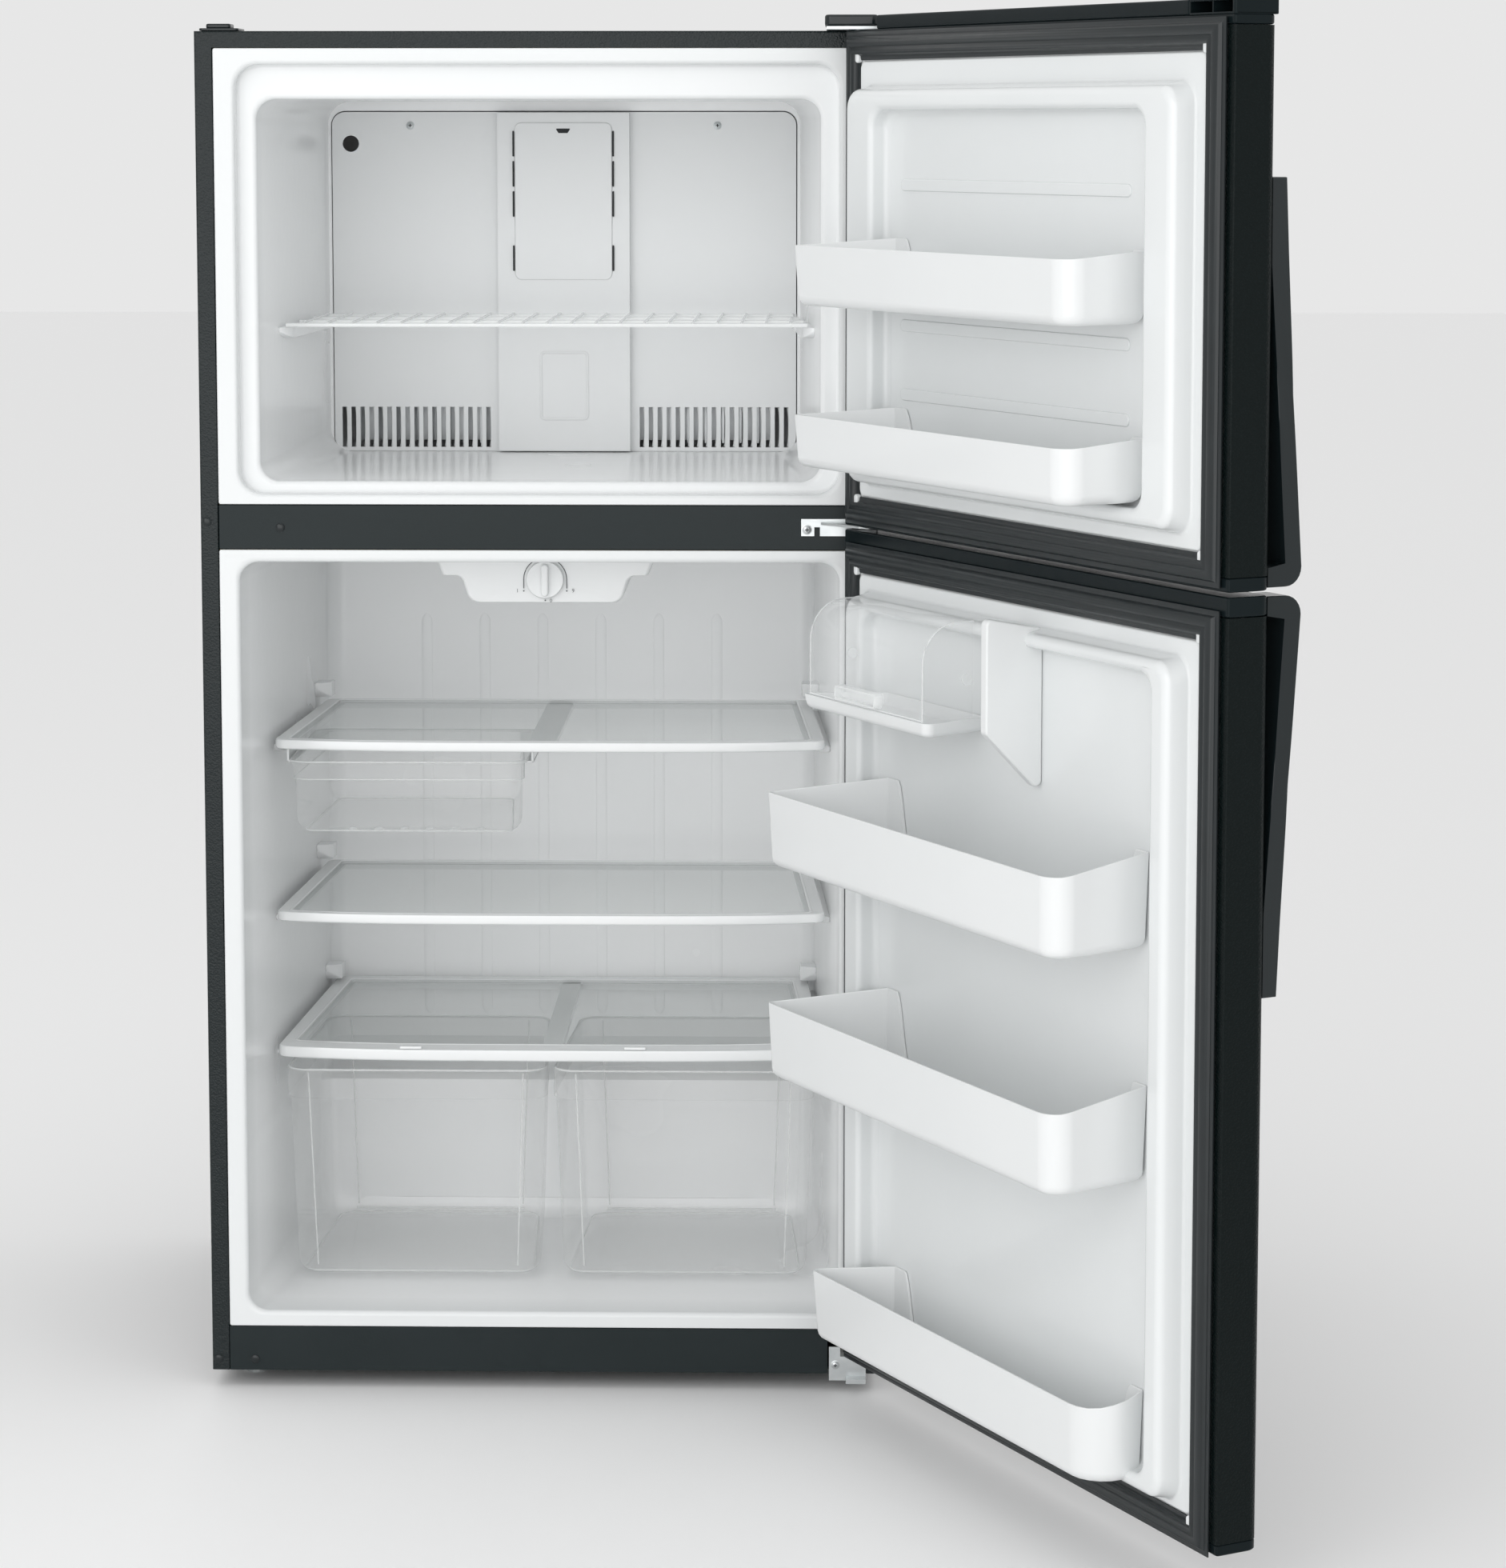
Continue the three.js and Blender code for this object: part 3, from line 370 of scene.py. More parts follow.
PEBBLED = pebbled_black_steel("pebbled black steel", (0.005, 0.01, 0.011), (0.015, 0.023, 0.025), 0.32)
# The doors get a darker, duller copy of the case's pebbled steel: painted shade, the same paint seen in
# less light.
DOOR_PEBBLED_PAINTED_SHADE = pebbled_black_steel("pebbled door steel", (0.002, 0.005, 0.005), (0.006, 0.011, 0.012), 0.12)
SMOOTH_BLACK = smooth_black_steel()
BLACK_GLOSS = black_gloss_plastic("black gloss plastic", 0.42)
CAP_BLACK = black_gloss_plastic("door cap plastic", 0.1)
RUBBER = gasket_rubber()
LINER_WHITE = white_plastic("liner white", (0.745, 0.768, 0.772), (0.80, 0.818, 0.82), 0.2, 0.35, 0.00012)
# The compartment liners carry painted light: lighter inside than at the flange.
TUB_WHITE_PAINTED_LIGHT = compartment_white_painted_light()
BIN_WHITE = white_plastic("bin white", (0.77, 0.787, 0.79), (0.81, 0.823, 0.825), 0.28, 0.2, 0.00006)
PANEL_WHITE = white_plastic("panel white", (0.78, 0.797, 0.80), (0.82, 0.832, 0.835), 0.3, 0.1, 0.00008)
CLEAR = clear_plastic("clear drawer plastic", (0.93, 0.955, 0.955), 0.07, 0.5)
CLEAR_LID = clear_plastic("clear lid plastic", (0.88, 0.91, 0.92), 0.08, 0.5)
# Whiter, more opaque clear plastic for thin beads along edges: painted highlights where clear plastic
# catches the light.
CLEAR_EDGE_PAINTED_HIGHLIGHT = clear_plastic("painted highlight on clear edges", (0.93, 0.95, 0.95), 0.4, 0.4)
GLASS = shelf_glass()
ZINC = plated_steel("zinc plate", (0.5, 0.53, 0.54), (0.68, 0.7, 0.7), 0.24, 60)
GALVANISED = plated_steel("galvanised sheet", (0.36, 0.39, 0.4), (0.55, 0.57, 0.58), 0.38, 25)
FOAM = coarse_matte("insulation foam", (0.55, 0.46, 0.25), (0.72, 0.63, 0.4), 60, 0.9, 0.002)
HARDBOARD = coarse_matte("dark fibre board", (0.05, 0.047, 0.042), (0.1, 0.095, 0.085), 220, 0.75, 0.0004)
COPPER = wound_metal("dull copper", (0.34, 0.13, 0.06), (0.6, 0.27, 0.14), 0.3)
ALUMINIUM = wound_metal("fin aluminium", (0.5, 0.52, 0.53), (0.72, 0.74, 0.75), 0.25)
ENAMEL_TONES = ((0.008, 0.008, 0.009), (0.02, 0.02, 0.022))
BLACK_ENAMEL = coarse_matte("compressor enamel", *ENAMEL_TONES, 90, 0.35, 0.0002)
MARK_GREY = coarse_matte("printed grey", (0.1, 0.11, 0.115), (0.15, 0.16, 0.165), 400, 0.5, 0.00001)
# Dark slabs laid over slits and screw recesses: painted shade of open gaps.
SHADOW_BLACK = coarse_matte("painted shade in open gaps", (0.01, 0.012, 0.013), (0.02, 0.022, 0.024), 300, 0.7, 0.00002)

# ---------------------------------------------------------------- surfaces


def unit(vectors):
    """Vectors of the same directions, one long."""
    return vectors / np.linalg.norm(vectors, axis=-1, keepdims=True)


def drawn_in(corners, distance):
    """A convex outline's corners with every side moved inwards by distance (outwards if negative)."""
    corners = np.asarray(corners, float)
    along = unit(np.roll(corners, -1, 0) - corners)
    normal = np.stack([-along[:, 1], along[:, 0]], 1)
    offset = (normal * corners).sum(1) + distance
    last_normal, last_offset = np.roll(normal, 1, 0), np.roll(offset, 1)
    cross = last_normal[:, 0] * normal[:, 1] - last_normal[:, 1] * normal[:, 0]
    x = (last_offset * normal[:, 1] - offset * last_normal[:, 1]) / cross
    y = (offset * last_normal[:, 0] - last_offset * normal[:, 0]) / cross
    return np.stack([x, y], 1)


def rounded(corners, radius, steps=7):
    """An outline whose corners are arcs: centre + (start sin((1-t)a) + end sin(ta)) / sin(a) for t from 0
    to 1, where start and end run from the arc's centre to the two tangent points and a is the angle
    between them."""
    corners = np.asarray(corners, float)
    radius = np.maximum(np.broadcast_to(np.asarray(radius, float), len(corners)), 0.01)
    before = unit(np.roll(corners, 1, 0) - corners)
    after = unit(np.roll(corners, -1, 0) - corners)
    half = np.arccos(np.clip((before * after).sum(1), -1, 1)) / 2
    centre = corners + unit(before + after) * (radius / np.sin(half))[:, None]
    start = corners + before * (radius / np.tan(half))[:, None] - centre
    end = corners + after * (radius / np.tan(half))[:, None] - centre
    turn = (np.pi - 2 * half)[:, None, None]
    t = np.linspace(0, 1, steps)[None, :, None]
    arcs = (np.sin((1 - t) * turn) * start[:, None] + np.sin(t * turn) * end[:, None]) / np.sin(turn)
    return (centre[:, None] + arcs).reshape(-1, 2)


def subdivided(outline, side, shares):
    """A rounded four-cornered outline with points added along the straight side after the given
    corner."""
    corner = outline.reshape(4, -1, 2)
    start, end = corner[side, -1], corner[(side + 1) % 4, 0]
    extra = start + (end - start) * np.asarray(shares, float)[:, None]
    return np.vstack([*corner[: side + 1], extra, *corner[side + 1 :]])


def rect(x0, x1, z0, z1):
    """The four corners of a rectangle, anticlockwise."""
    return np.array([[x0, z0], [x1, z0], [x1, z1], [x0, z1]], float)


def raised(outline, height):
    """Plan points (x, y) at one height z."""
    return np.column_stack([outline, np.full(len(outline), float(height))])


def faced(outline, depth):
    """Front points (x, z) at one depth y."""
    return np.column_stack([outline[:, 0], np.full(len(outline), float(depth)), outline[:, 1]])


def sided(outline, across):
    """Side points (y, z) at one x."""
    return np.column_stack([np.full(len(outline), float(across)), outline])


def skin(rings, around=True, ring=False, start=False, end=False):
    """One surface through a stack of rings of points: quads between neighbours, with a fan of triangles
    to the middle of the first or last ring where that end is closed, and back to the first ring where
    ring is set."""
    grid = np.stack(rings)
    rows, columns = grid.shape[:2]
    index = np.arange(rows * columns).reshape(rows, columns)
    if around:
        index = np.hstack([index, index[:, :1]])
    if ring:
        index = np.vstack([index, index[:1]])
    quads = np.stack([index[:-1, :-1], index[:-1, 1:], index[1:, 1:], index[1:, :-1]], -1).reshape(-1, 4)
    points = grid.reshape(-1, 3)
    faces = quads.tolist()
    for closed, row, turn in ((start, index[0], -1), (end, index[-1 - ring], 1)):
        if closed:
            middle = np.full(len(row) - 1, len(points))
            points = np.vstack([points, grid[0 if turn < 0 else -1].mean(0)])
            faces += np.stack([row[:-1], row[1:], middle], 1)[:, ::turn].tolist()
    return points, faces


def together(*surfaces):
    """Several surfaces as one set of points and faces."""
    points, faces, count = [], [], 0
    for surface_points, surface_faces in surfaces:
        points.append(surface_points)
        faces += [[corner + count for corner in face] for face in surface_faces]
        count += len(surface_points)
    return np.vstack(points), faces


def pillow(corners, layers, face, radius, steps=7):
    """A closed solid through drawn-in copies of an outline: layers holds (inset, height) pairs, and face
    turns an outline and a height into points."""
    rings = [
        face(rounded(drawn_in(corners, inset), np.maximum(np.asarray(radius) - inset, 0.2), steps), height)
        for inset, height in layers
    ]
    return skin(rings, start=True, end=True)


def slab(corners, low, high, face, radius, edge):
    """A plate with rounded corners and softened top and bottom edges."""
    bend = np.linspace(0, np.pi / 2, 4)
    rise, inset = edge * (1 - np.cos(bend)), edge * (1 - np.sin(bend))
    layers = [(i, low + r) for i, r in zip(inset, rise)]
    layers += [(i, high - r) for i, r in zip(inset[::-1], rise[::-1])]
    return pillow(corners, layers, face, radius)


def tray_shell(corners, low, high, wall, face, radius, floor_radius, flare=0.0, extra=None, sheet=False):
    """An open tray: rings climb the outside from the floor's middle, turn over a rounded rim, and go down
    the inside, or stop at the rim where sheet is set. flare moves the outline outwards with height, and
    extra adds points along one side."""
    bend = np.linspace(0, np.pi / 2, 5)
    deep = high - low
    turn_in, turn_up = 1 - np.sin(bend), 1 - np.cos(bend)
    inner_radius = max(floor_radius - wall, 1.0)
    outside = list(zip(floor_radius * turn_in, low + floor_radius * turn_up))
    inside = list(zip(wall + inner_radius * turn_in, low + wall + inner_radius * turn_up))
    crest, shoulder = high - wall * 0.1, high - wall / 2
    rim = [(0.0, shoulder), (wall * 0.25, crest), (wall * 0.75, crest), (wall, shoulder)]
    layers = outside + (rim[:2] if sheet else rim + inside[::-1])
    rings = []
    for inset, height in layers:
        out = flare * (height - low) / deep - flare
        outline = rounded(drawn_in(corners, inset - out), np.maximum(np.asarray(radius) - inset, 1.5), 7)
        rings.append(face(subdivided(outline, *extra) if extra else outline, height))
    return skin(rings, start=True, end=not sheet)


def tube(path, radius, sides=8):
    """A round bar along a path: path + radius (cos a N + sin a B), with N and B square to the path's
    direction."""
    path = np.asarray(path, float)
    along = unit(np.gradient(path, axis=0))
    helper = np.where(np.abs(along[:, 2:3]) < 0.9, [[0.0, 0.0, 1.0]], [[1.0, 0.0, 0.0]])
    normal = unit(np.cross(along, helper))
    other = np.cross(along, normal)
    angle = np.linspace(0, 2 * np.pi, sides, endpoint=False)[None, :, None]
    rings = path[:, None] + radius * (np.cos(angle) * normal[:, None] + np.sin(angle) * other[:, None])
    return skin(rings, start=True, end=True)


def turned(profile, centre, axis, sides=32):
    """A solid of revolution: profile holds (radius, distance along the axis) pairs from end to end."""
    profile = np.asarray(profile, float)
    angle = np.linspace(0, 2 * np.pi, sides, endpoint=False)
    rings = []
    for radius, along in profile:
        a, b, c = radius * np.cos(angle), radius * np.sin(angle), np.full(sides, along)
        columns = {"x": (c, a, b), "y": (a, c, b), "z": (a, b, c)}[axis]
        rings.append(np.column_stack(columns) + centre)
    return skin(rings, start=True, end=True)


def make(
    name, surface, material, body, place=in_cabinet, replaces=(), wall=0.0, angle=38, even=True
):
    """Puts a surface into a mesh object: doubles merged, faces turned outwards, smooth but for its sharp
    edges."""
    points, faces = surface
    mesh = bpy.data.meshes.new(name)
    mesh.from_pydata(place(points), [], faces)
    mesh.validate()
    work = bmesh.new()
    work.from_mesh(mesh)
    bmesh.ops.remove_doubles(work, verts=work.verts, dist=2e-6)
    bmesh.ops.dissolve_degenerate(work, edges=work.edges, dist=1e-6)
    bmesh.ops.recalc_face_normals(work, faces=work.faces)
    work.to_mesh(mesh)
    work.free()
    mesh.polygons.foreach_set("use_smooth", np.ones(len(mesh.polygons), bool))
    mesh.set_sharp_from_angle(angle=math.radians(angle))
    mesh.materials.append(material)
    item = bpy.data.objects.new(name, mesh)
    bpy.context.scene.collection.objects.link(item)
    if wall:
        solid = item.modifiers.new("wall", "SOLIDIFY")
        solid.thickness = wall / 1000
        solid.offset = 1.0
        solid.use_even_offset = True
    if even:
        shading = item.modifiers.new("even shading", "WEIGHTED_NORMAL")
        shading.keep_sharp = True
    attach(item, body)
    if replaces:
        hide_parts(*replaces)
    return item


# ---------------------------------------------------------------- cabinet

HALF, LOW, TOP = 416.0, 22.0, 1690.0
FLANGE = 394.0
FRIDGE = dict(front=369, rear=335, start=0, end=610, low=98, top=1042)
FREEZER = dict(front=345, rear=308, start=24, end=612, low=1140, top=1608)
HUMP_FRONT, HUMP_TOP = 465.0, 300.0


def wall_at(tub, y):
    """Half of a tub's inner width at a depth y."""
    return tub["front"] + (tub["rear"] - tub["front"]) * (y - tub["start"]) / (tub["end"] - tub["start"])


def case_shell():
    """The folded case: one profile of (inset from the outside, depth) pairs carried up the left side,
    over the top and down the right side, with mitred corners."""
    bend = np.linspace(0, np.pi / 2, 6)
    nose = np.column_stack([3.0 * (1 - np.cos(bend[::-1])), 3.0 * (1 - np.sin(bend[::-1]))])
    lip = np.array([[21.8, 11.5], [22.0, 1.2], [21.2, 0.0]])
    tail = np.array([[0.0, 60.0], [0.0, BACK - 1], [0.5, BACK], [1.5, BACK], [1.5, 40.0], [1.6, 11.7]])
    profile = np.vstack([lip, nose, tail])
    inset, depth = profile[:, 0], profile[:, 1]
    over = np.minimum(inset, 20.0)
    x = np.stack([-HALF + inset, -HALF + inset, HALF - inset, HALF - inset])
    z = np.stack([np.full(len(inset), LOW), TOP - over, TOP - over, np.full(len(inset), LOW)])
    return skin(list(np.stack([x, np.broadcast_to(depth, x.shape), z], -1)))


make("case_shell", case_shell(), PEBBLED, "cabinet", replaces=["outer_case"], angle=50)


def rail_face(low, high, depth):
    """A flat rail with softened edges between the two sides."""
    return slab(rect(-FLANGE + 0.5, FLANGE - 0.5, low, high), 0.3, depth, faced, 1.5, 1.2)


middle_rail = rail_face(1058.2, 1112.8, 12)
make("middle_rail", middle_rail, SMOOTH_BLACK, "cabinet", replaces=["mid_rail"])


def tub_back(z):
    """How deep the fridge tub is at a height z: the full depth above the machine compartment, less below
    it."""
    step = np.clip((z - HUMP_TOP + 14) / 28, 0, 1)
    return HUMP_FRONT + (FRIDGE["end"] - HUMP_FRONT) * step * step * (3 - 2 * step)


def denser(outline, levels):
    """Adds points at the given heights on the two long upright sides of a rounded rectangle."""
    corner = outline.reshape(4, -1, 2)
    sides = []
    right, left = (corner[1, -1], corner[2, 0], levels), (corner[3, -1], corner[0, 0], levels[::-1])
    for start, end, heights in (right, left):
        share = ((heights - start[1]) / (end[1] - start[1])).clip(0.001, 0.999)
        sides.append(start + (end - start) * share[:, None])
    return np.vstack([corner[0], corner[1], sides[0], corner[2], corner[3], sides[1]])


LIP_RADIUS = 6.0
STEP_LEVELS = HUMP_TOP + np.array([-18, -14, -10, -7, -4, 0, 4, 7, 10, 14, 18.0])
HUMP_LEVELS = np.concatenate([[170.0, 240.0], STEP_LEVELS, [400.0, 700.0]])


def tub_rings(tub, lip):
    """Rings of a tub from its lip to the middle of its back wall: the lip turns in over a quarter circle,
    the walls draw in with depth, and a second quarter circle turns onto the back."""
    bend = np.linspace(0, np.pi / 2, 6)
    opening = rect(-tub["front"], tub["front"], tub["low"], tub["top"])
    start = tub["start"] + 0.1
    rings = [(drawn_in(opening, -lip * (1 - np.sin(b))), start + lip * (1 - np.cos(b)), 24.0) for b in bend]
    for share in (0.06, 0.2, 0.4, 0.6, 0.8, 0.92):
        y = tub["start"] + (tub["end"] - tub["start"]) * share
        half = wall_at(tub, y)
        rings.append((rect(-half, half, tub["low"], tub["top"]), y, 24.0 + 8 * share))
    last = rect(-tub["rear"], tub["rear"], tub["low"], tub["top"])
    bottom = 24.0
    for b in bend:
        inset, depth = bottom * (1 - np.cos(b)), tub["end"] - bottom * (1 - np.sin(b))
        rings.append((drawn_in(last, inset), depth, 32.0 + 10 * b / 1.57))
    return rings


def back_wall(outline, y):
    """The wall inside a rounded outline that is the same left and right: its right half's points (x, z),
    each carried across as (k x, z) for k from -1 to 1."""
    right = outline[outline[:, 0] > 0]
    right = right[np.argsort(right[:, 1], kind="stable")]
    k = np.linspace(-1, 1, 13)
    x = right[:, :1] * k
    return np.stack([x, np.full(x.shape, float(y)), np.broadcast_to(right[:, 1:], x.shape)], -1)


def liner(tub, flange, steps, levels):
    """A compartment's liner: its flange, any wide steps, and its tub's walls as rings, then its back
    wall."""
    rings = [(drawn_in(flange, inset), y, 3.0) for inset, y in ((0, 2.4), (0, 1.0), (0.9, 0.1), (5.0, 0.1))]
    rings += steps + tub_rings(tub, LIP_RADIUS)
    outlines = [denser(rounded(corners, radius, 9), levels) for corners, _, radius in rings]
    walls = np.stack([faced(outline, y) for outline, (_, y, _) in zip(outlines, rings)])
    return walls, back_wall(outlines[-1], tub["end"])


def fridge_liner():
    """The chilled compartment, its depth scaled at each height so that it clears the machine
    compartment."""
    flange = rect(-FLANGE + 0.6, FLANGE - 0.6, 78.6, 1057.4)
    walls, back = liner(FRIDGE, flange, [], HUMP_LEVELS)
    for grid in (walls, back):
        share = np.clip((grid[..., 1] - 60) / (FRIDGE["end"] - 60), 0, 1)
        grid[..., 1] -= share * (FRIDGE["end"] - tub_back(grid[..., 2]))
    return together(skin(list(walls)), skin(list(back), around=False))


def freezer_liner():
    """The freezer compartment behind a wide step that takes the door liner's raised frame."""
    flange = rect(-FLANGE + 0.6, FLANGE - 0.6, 1113.6, 1669.4)
    bend = np.linspace(0, np.pi / 2, 5)
    opening = rect(-368, 368, 1126, 1650)
    steps = [(drawn_in(opening, -5 * (1 - np.sin(b))), 5 * (1 - np.cos(b)) + 0.1, 30.0) for b in bend]
    steps += [(drawn_in(opening, 4 * (1 - np.cos(b))), 20 + 4 * np.sin(b), 28.0) for b in bend]
    walls, back = liner(FREEZER, flange, steps, np.linspace(1200, 1560, 6))
    return together(skin(list(walls)), skin(list(back), around=False))


for name, tub in (("fridge", fridge_liner()), ("freezer", freezer_liner())):
    make(f"{name}_tub", tub, TUB_WHITE_PAINTED_LIGHT, "cabinet", replaces=[f"{name}_liner"], wall=2.0)


def wall_ledge(side, tub, y0, y1, low, top, reach, taper=30.0):
    """A shelf ledge: a rounded bar whose outer side follows the drafted wall. Towards its front end it
    fades into the wall over the taper, as the square root of the way along it."""
    rings = []
    near = y0 + taper * np.array([0, 0.03, 0.12, 0.3, 0.6, 1.0])
    far = [(y0 + y1) / 2, y1 - 2.5, y1 - 0.7, y1]
    for y in np.concatenate([near, far]):
        wall = wall_at(tub, y)
        front = math.sqrt(min(max((y - y0) / taper, 0.01), 1.0))
        ease = min(2.0, 0.25 * (top - low)) * (1 - min((y1 - y) / 2.5, 1)) ** 2
        foot = low + (top - low) * 0.7 * (1 - front)
        corners = rect(wall - reach * front + ease, wall + 1.0, foot + ease, top - ease)
        if side < 0:
            corners = corners[::-1] * [-1, 1]
        rings.append(faced(rounded(corners, min(2.0, 0.1 * (top - low)), 4), y))
    return skin(rings, start=True, end=True)


def ledges():
    """The three pairs of shelf ledges in the fridge, with the stop blocks that stand over their back
    ends."""
    parts = []
    for low, top, back in ((768, 785.0, 535), (546, 562.5, 535), (373, 385.0, 590)):
        for side in (-1, 1):
            parts.append(wall_ledge(side, FRIDGE, 205, back, low, top, 14, 70))
            parts.append(wall_ledge(side, FRIDGE, back - 40, back - 4, top + 20, top + 40, 22, 8))
    return together(*parts)


make("shelf_ledges", ledges(), TUB_WHITE_PAINTED_LIGHT, "cabinet")
freezer_ledges = [wall_ledge(side, FREEZER, 150, 415, 1309, 1323.4, 15) for side in (-1, 1)]
make("wire_shelf_ledges", together(*freezer_ledges), TUB_WHITE_PAINTED_LIGHT, "cabinet")


def wall_rib(x, low, high):
    """A shallow rounded rib on the back wall: half an ellipse across, dying away at both ends."""
    foot, head = np.linspace(low, low + 12, 6), np.linspace(high - 12, high, 6)
    z = np.concatenate([foot, np.linspace(low + 30, high - 30, 4), head])
    fade = np.sqrt(np.clip(np.minimum(z - low, high - z) / 10, 0.02, 1))
    angle = np.linspace(0, np.pi, 9)
    across = x + 7.5 * fade[:, None] * np.cos(angle)
    out = FRIDGE["end"] + 0.3 - 1.6 * fade[:, None] * np.sin(angle) ** 0.7
    grid = np.stack([across, out, np.broadcast_to(z[:, None], across.shape)], -1)
    return skin(list(grid), start=True, end=True)


ribs = [wall_rib(x, 345, 908) for x in (-200, -120, -40, 40, 120, 200)]
make("wall_ribs", together(*ribs), TUB_WHITE_PAINTED_LIGHT, "cabinet")

# ---------------------------------------------------------------- freezer fittings

PANEL_FRONT = 496.0
DUCT_FRONT = 481.0


def panel_surround():
    """The liner's shelf round the panel: a flat frame from just outside the panel's outline out to the
    walls."""
    inner = rounded(rect(-311.3, 311.3, 1140.8, 1595.3), 19, 9)
    edge = rounded(drawn_in(rect(-311.3, 311.3, 1140.8, 1595.3), -0.8), 19.6, 9)
    outer = rounded(rect(-315.6, 315.6, 1140.2, 1608), 24, 9)
    front, back = PANEL_FRONT + 1.4, PANEL_FRONT + 4.5
    lines = ((inner, back), (inner, front + 0.8), (edge, front), (outer, front), (outer, back))
    return skin([faced(outline, y) for outline, y in lines], ring=True)


make("panel_surround", panel_surround(), TUB_WHITE_PAINTED_LIGHT, "cabinet")


def grille_vanes():
    """The curved vanes behind the return air slits: each starts at its slit's right edge and bows out to
    the middle of the slit by a half sine of its height."""
    z = np.linspace(1146.5, 1199.5, 9)
    bow = np.sin(np.linspace(0, np.pi, 9)) ** 0.6
    parts = []
    for side in (-1, 1):
        for slot in range(17):
            x = side * 200 + (slot - 8) * 12.1
            front = np.stack([np.full(9, x + 3.4), np.full(9, 499.6), z], -1)
            middle = np.stack([x + 3.4 - 2.2 * (1 - 0.6 * bow), 501.0 + 0 * z, z], -1)
            rear = np.stack([x + 3.4 - 3.0 * (1 - 0.75 * bow), 506.0 + 0 * z, z], -1)
            back = rear + np.array([1.0, 0.6, 0])
            root = front + np.array([0.6, 1.4, 0])
            parts.append(skin([front, middle, rear, back, root], around=False, ring=True))
    return together(*parts)


make("grille_vanes", grille_vanes(), PANEL_WHITE, "cabinet", even=False)


def dome_screw(x, y, z, radius=5.5):
    """A pan-head screw seen from the front: a low dome with a flat rim."""
    rim, crown = radius * 1.25, radius * 0.9
    profile = [(rim, 0.0), (rim, -0.6), (radius, -0.9), (crown, -2.2), (radius * 0.5, -3.0), (0.05, -3.2)]
    return turned(profile, (x, y, z), "y", 24)


def cross_slot(x, y, z, size=2.6):
    """The recess of a cross-head screw, as two dark bars of painted shade."""
    bars = [rect(x - size, x + size, z - 0.6, z + 0.6), rect(x - 0.6, x + 0.6, z - size, z + size)]
    return together(*[slab(b, y - 0.15, y + 0.1, faced, 0.3, 0.1) for b in bars])


def duct_panel():
    """The raised access panel on the duct cover, and the outlined pad below it."""
    raised_part = slab(rect(-65, 65, 1371, 1580), DUCT_FRONT - 2.2, DUCT_FRONT + 1, faced, 9, 1.6)
    outer = rect(-33, 33, 1183, 1276)
    ring = [(0, 0.3), (0.2, -0.9), (1.2, -1.5), (2.6, -1.5), (3.6, -0.9), (3.8, 0.3)]
    pad = skin([faced(rounded(drawn_in(outer, i), max(7 - i, 2)), DUCT_FRONT + y) for i, y in ring])
    return together(raised_part, pad)


def duct_slots():
    """The long air slits at both sides of the access panel, and the small one in its top edge, as dark
    slabs of painted shade.
    """
    slits = []
    for x in (-66.5, 66.5):
        slits += [rect(x - 1.1, x + 1.1, z - 17, z + 17) for z in (1552, 1512, 1472, 1400)]
    slits.append(np.array([[-6, 1566], [6, 1566], [10, 1572], [-10, 1572]], float))
    return together(*[slab(s, DUCT_FRONT - 2.6, DUCT_FRONT + 0.5, faced, 0.9, 0.2) for s in slits])


make("duct_panel", duct_panel(), PANEL_WHITE, "cabinet")
make("duct_slit_shade", duct_slots(), SHADOW_BLACK, "cabinet")
panel_screws = together(*[dome_screw(x, PANEL_FRONT, 1576, 4.5) for x in (-205, 205)])
make("panel_screws", panel_screws, ZINC, "cabinet")
panel_slots = together(*[cross_slot(x, PANEL_FRONT - 3.2, 1576, 2.2) for x in (-205, 205)])
make("panel_screw_slot_shade", panel_slots, SHADOW_BLACK, "cabinet")


def wire_rack():
    """The coated wire shelf: thin bars front to back over cross rods, with a thicker front rod."""
    level, front, rear = 1328.0, 150.0, 412.0
    parts = []
    for y, radius in ((front, 2.6), (front + 11, 2.2), (240, 2.4), (330, 2.4), (rear, 2.6)):
        half = wall_at(FREEZER, y) - 9
        x = np.linspace(-half, half, 9)
        parts.append(tube(np.column_stack([x, np.full(9, y), np.full(9, level - 1.6)]), radius, 8))
    reach = wall_at(FREEZER, rear) - 14
    y = np.array([front - 1, front, front + 4, front + 12, 200, 250, 300, 350, rear + 1])
    drop = np.array([-1.4, -0.2, 0.8, 1.2, 1.2, 1.2, 1.2, 1.2, 1.2])
    for x in np.linspace(-reach, reach, 21):
        parts.append(tube(np.column_stack([np.full(9, x), y, level + drop]), 1.6, 6))
    return together(*parts)


WIRE_WHITE = white_plastic("coated wire", (0.84, 0.86, 0.86), (0.9, 0.91, 0.91), 0.22, 0.4, 0.00003)
make("wire_rack", wire_rack(), WIRE_WHITE, "wire_shelf", replaces=["wire_shelf"],
     even=False)

# ---------------------------------------------------------------- fridge fittings

CONTROL_FRONT, CONTROL_BACK, KNOB_Z = 106.0, 235.0, 1010.0


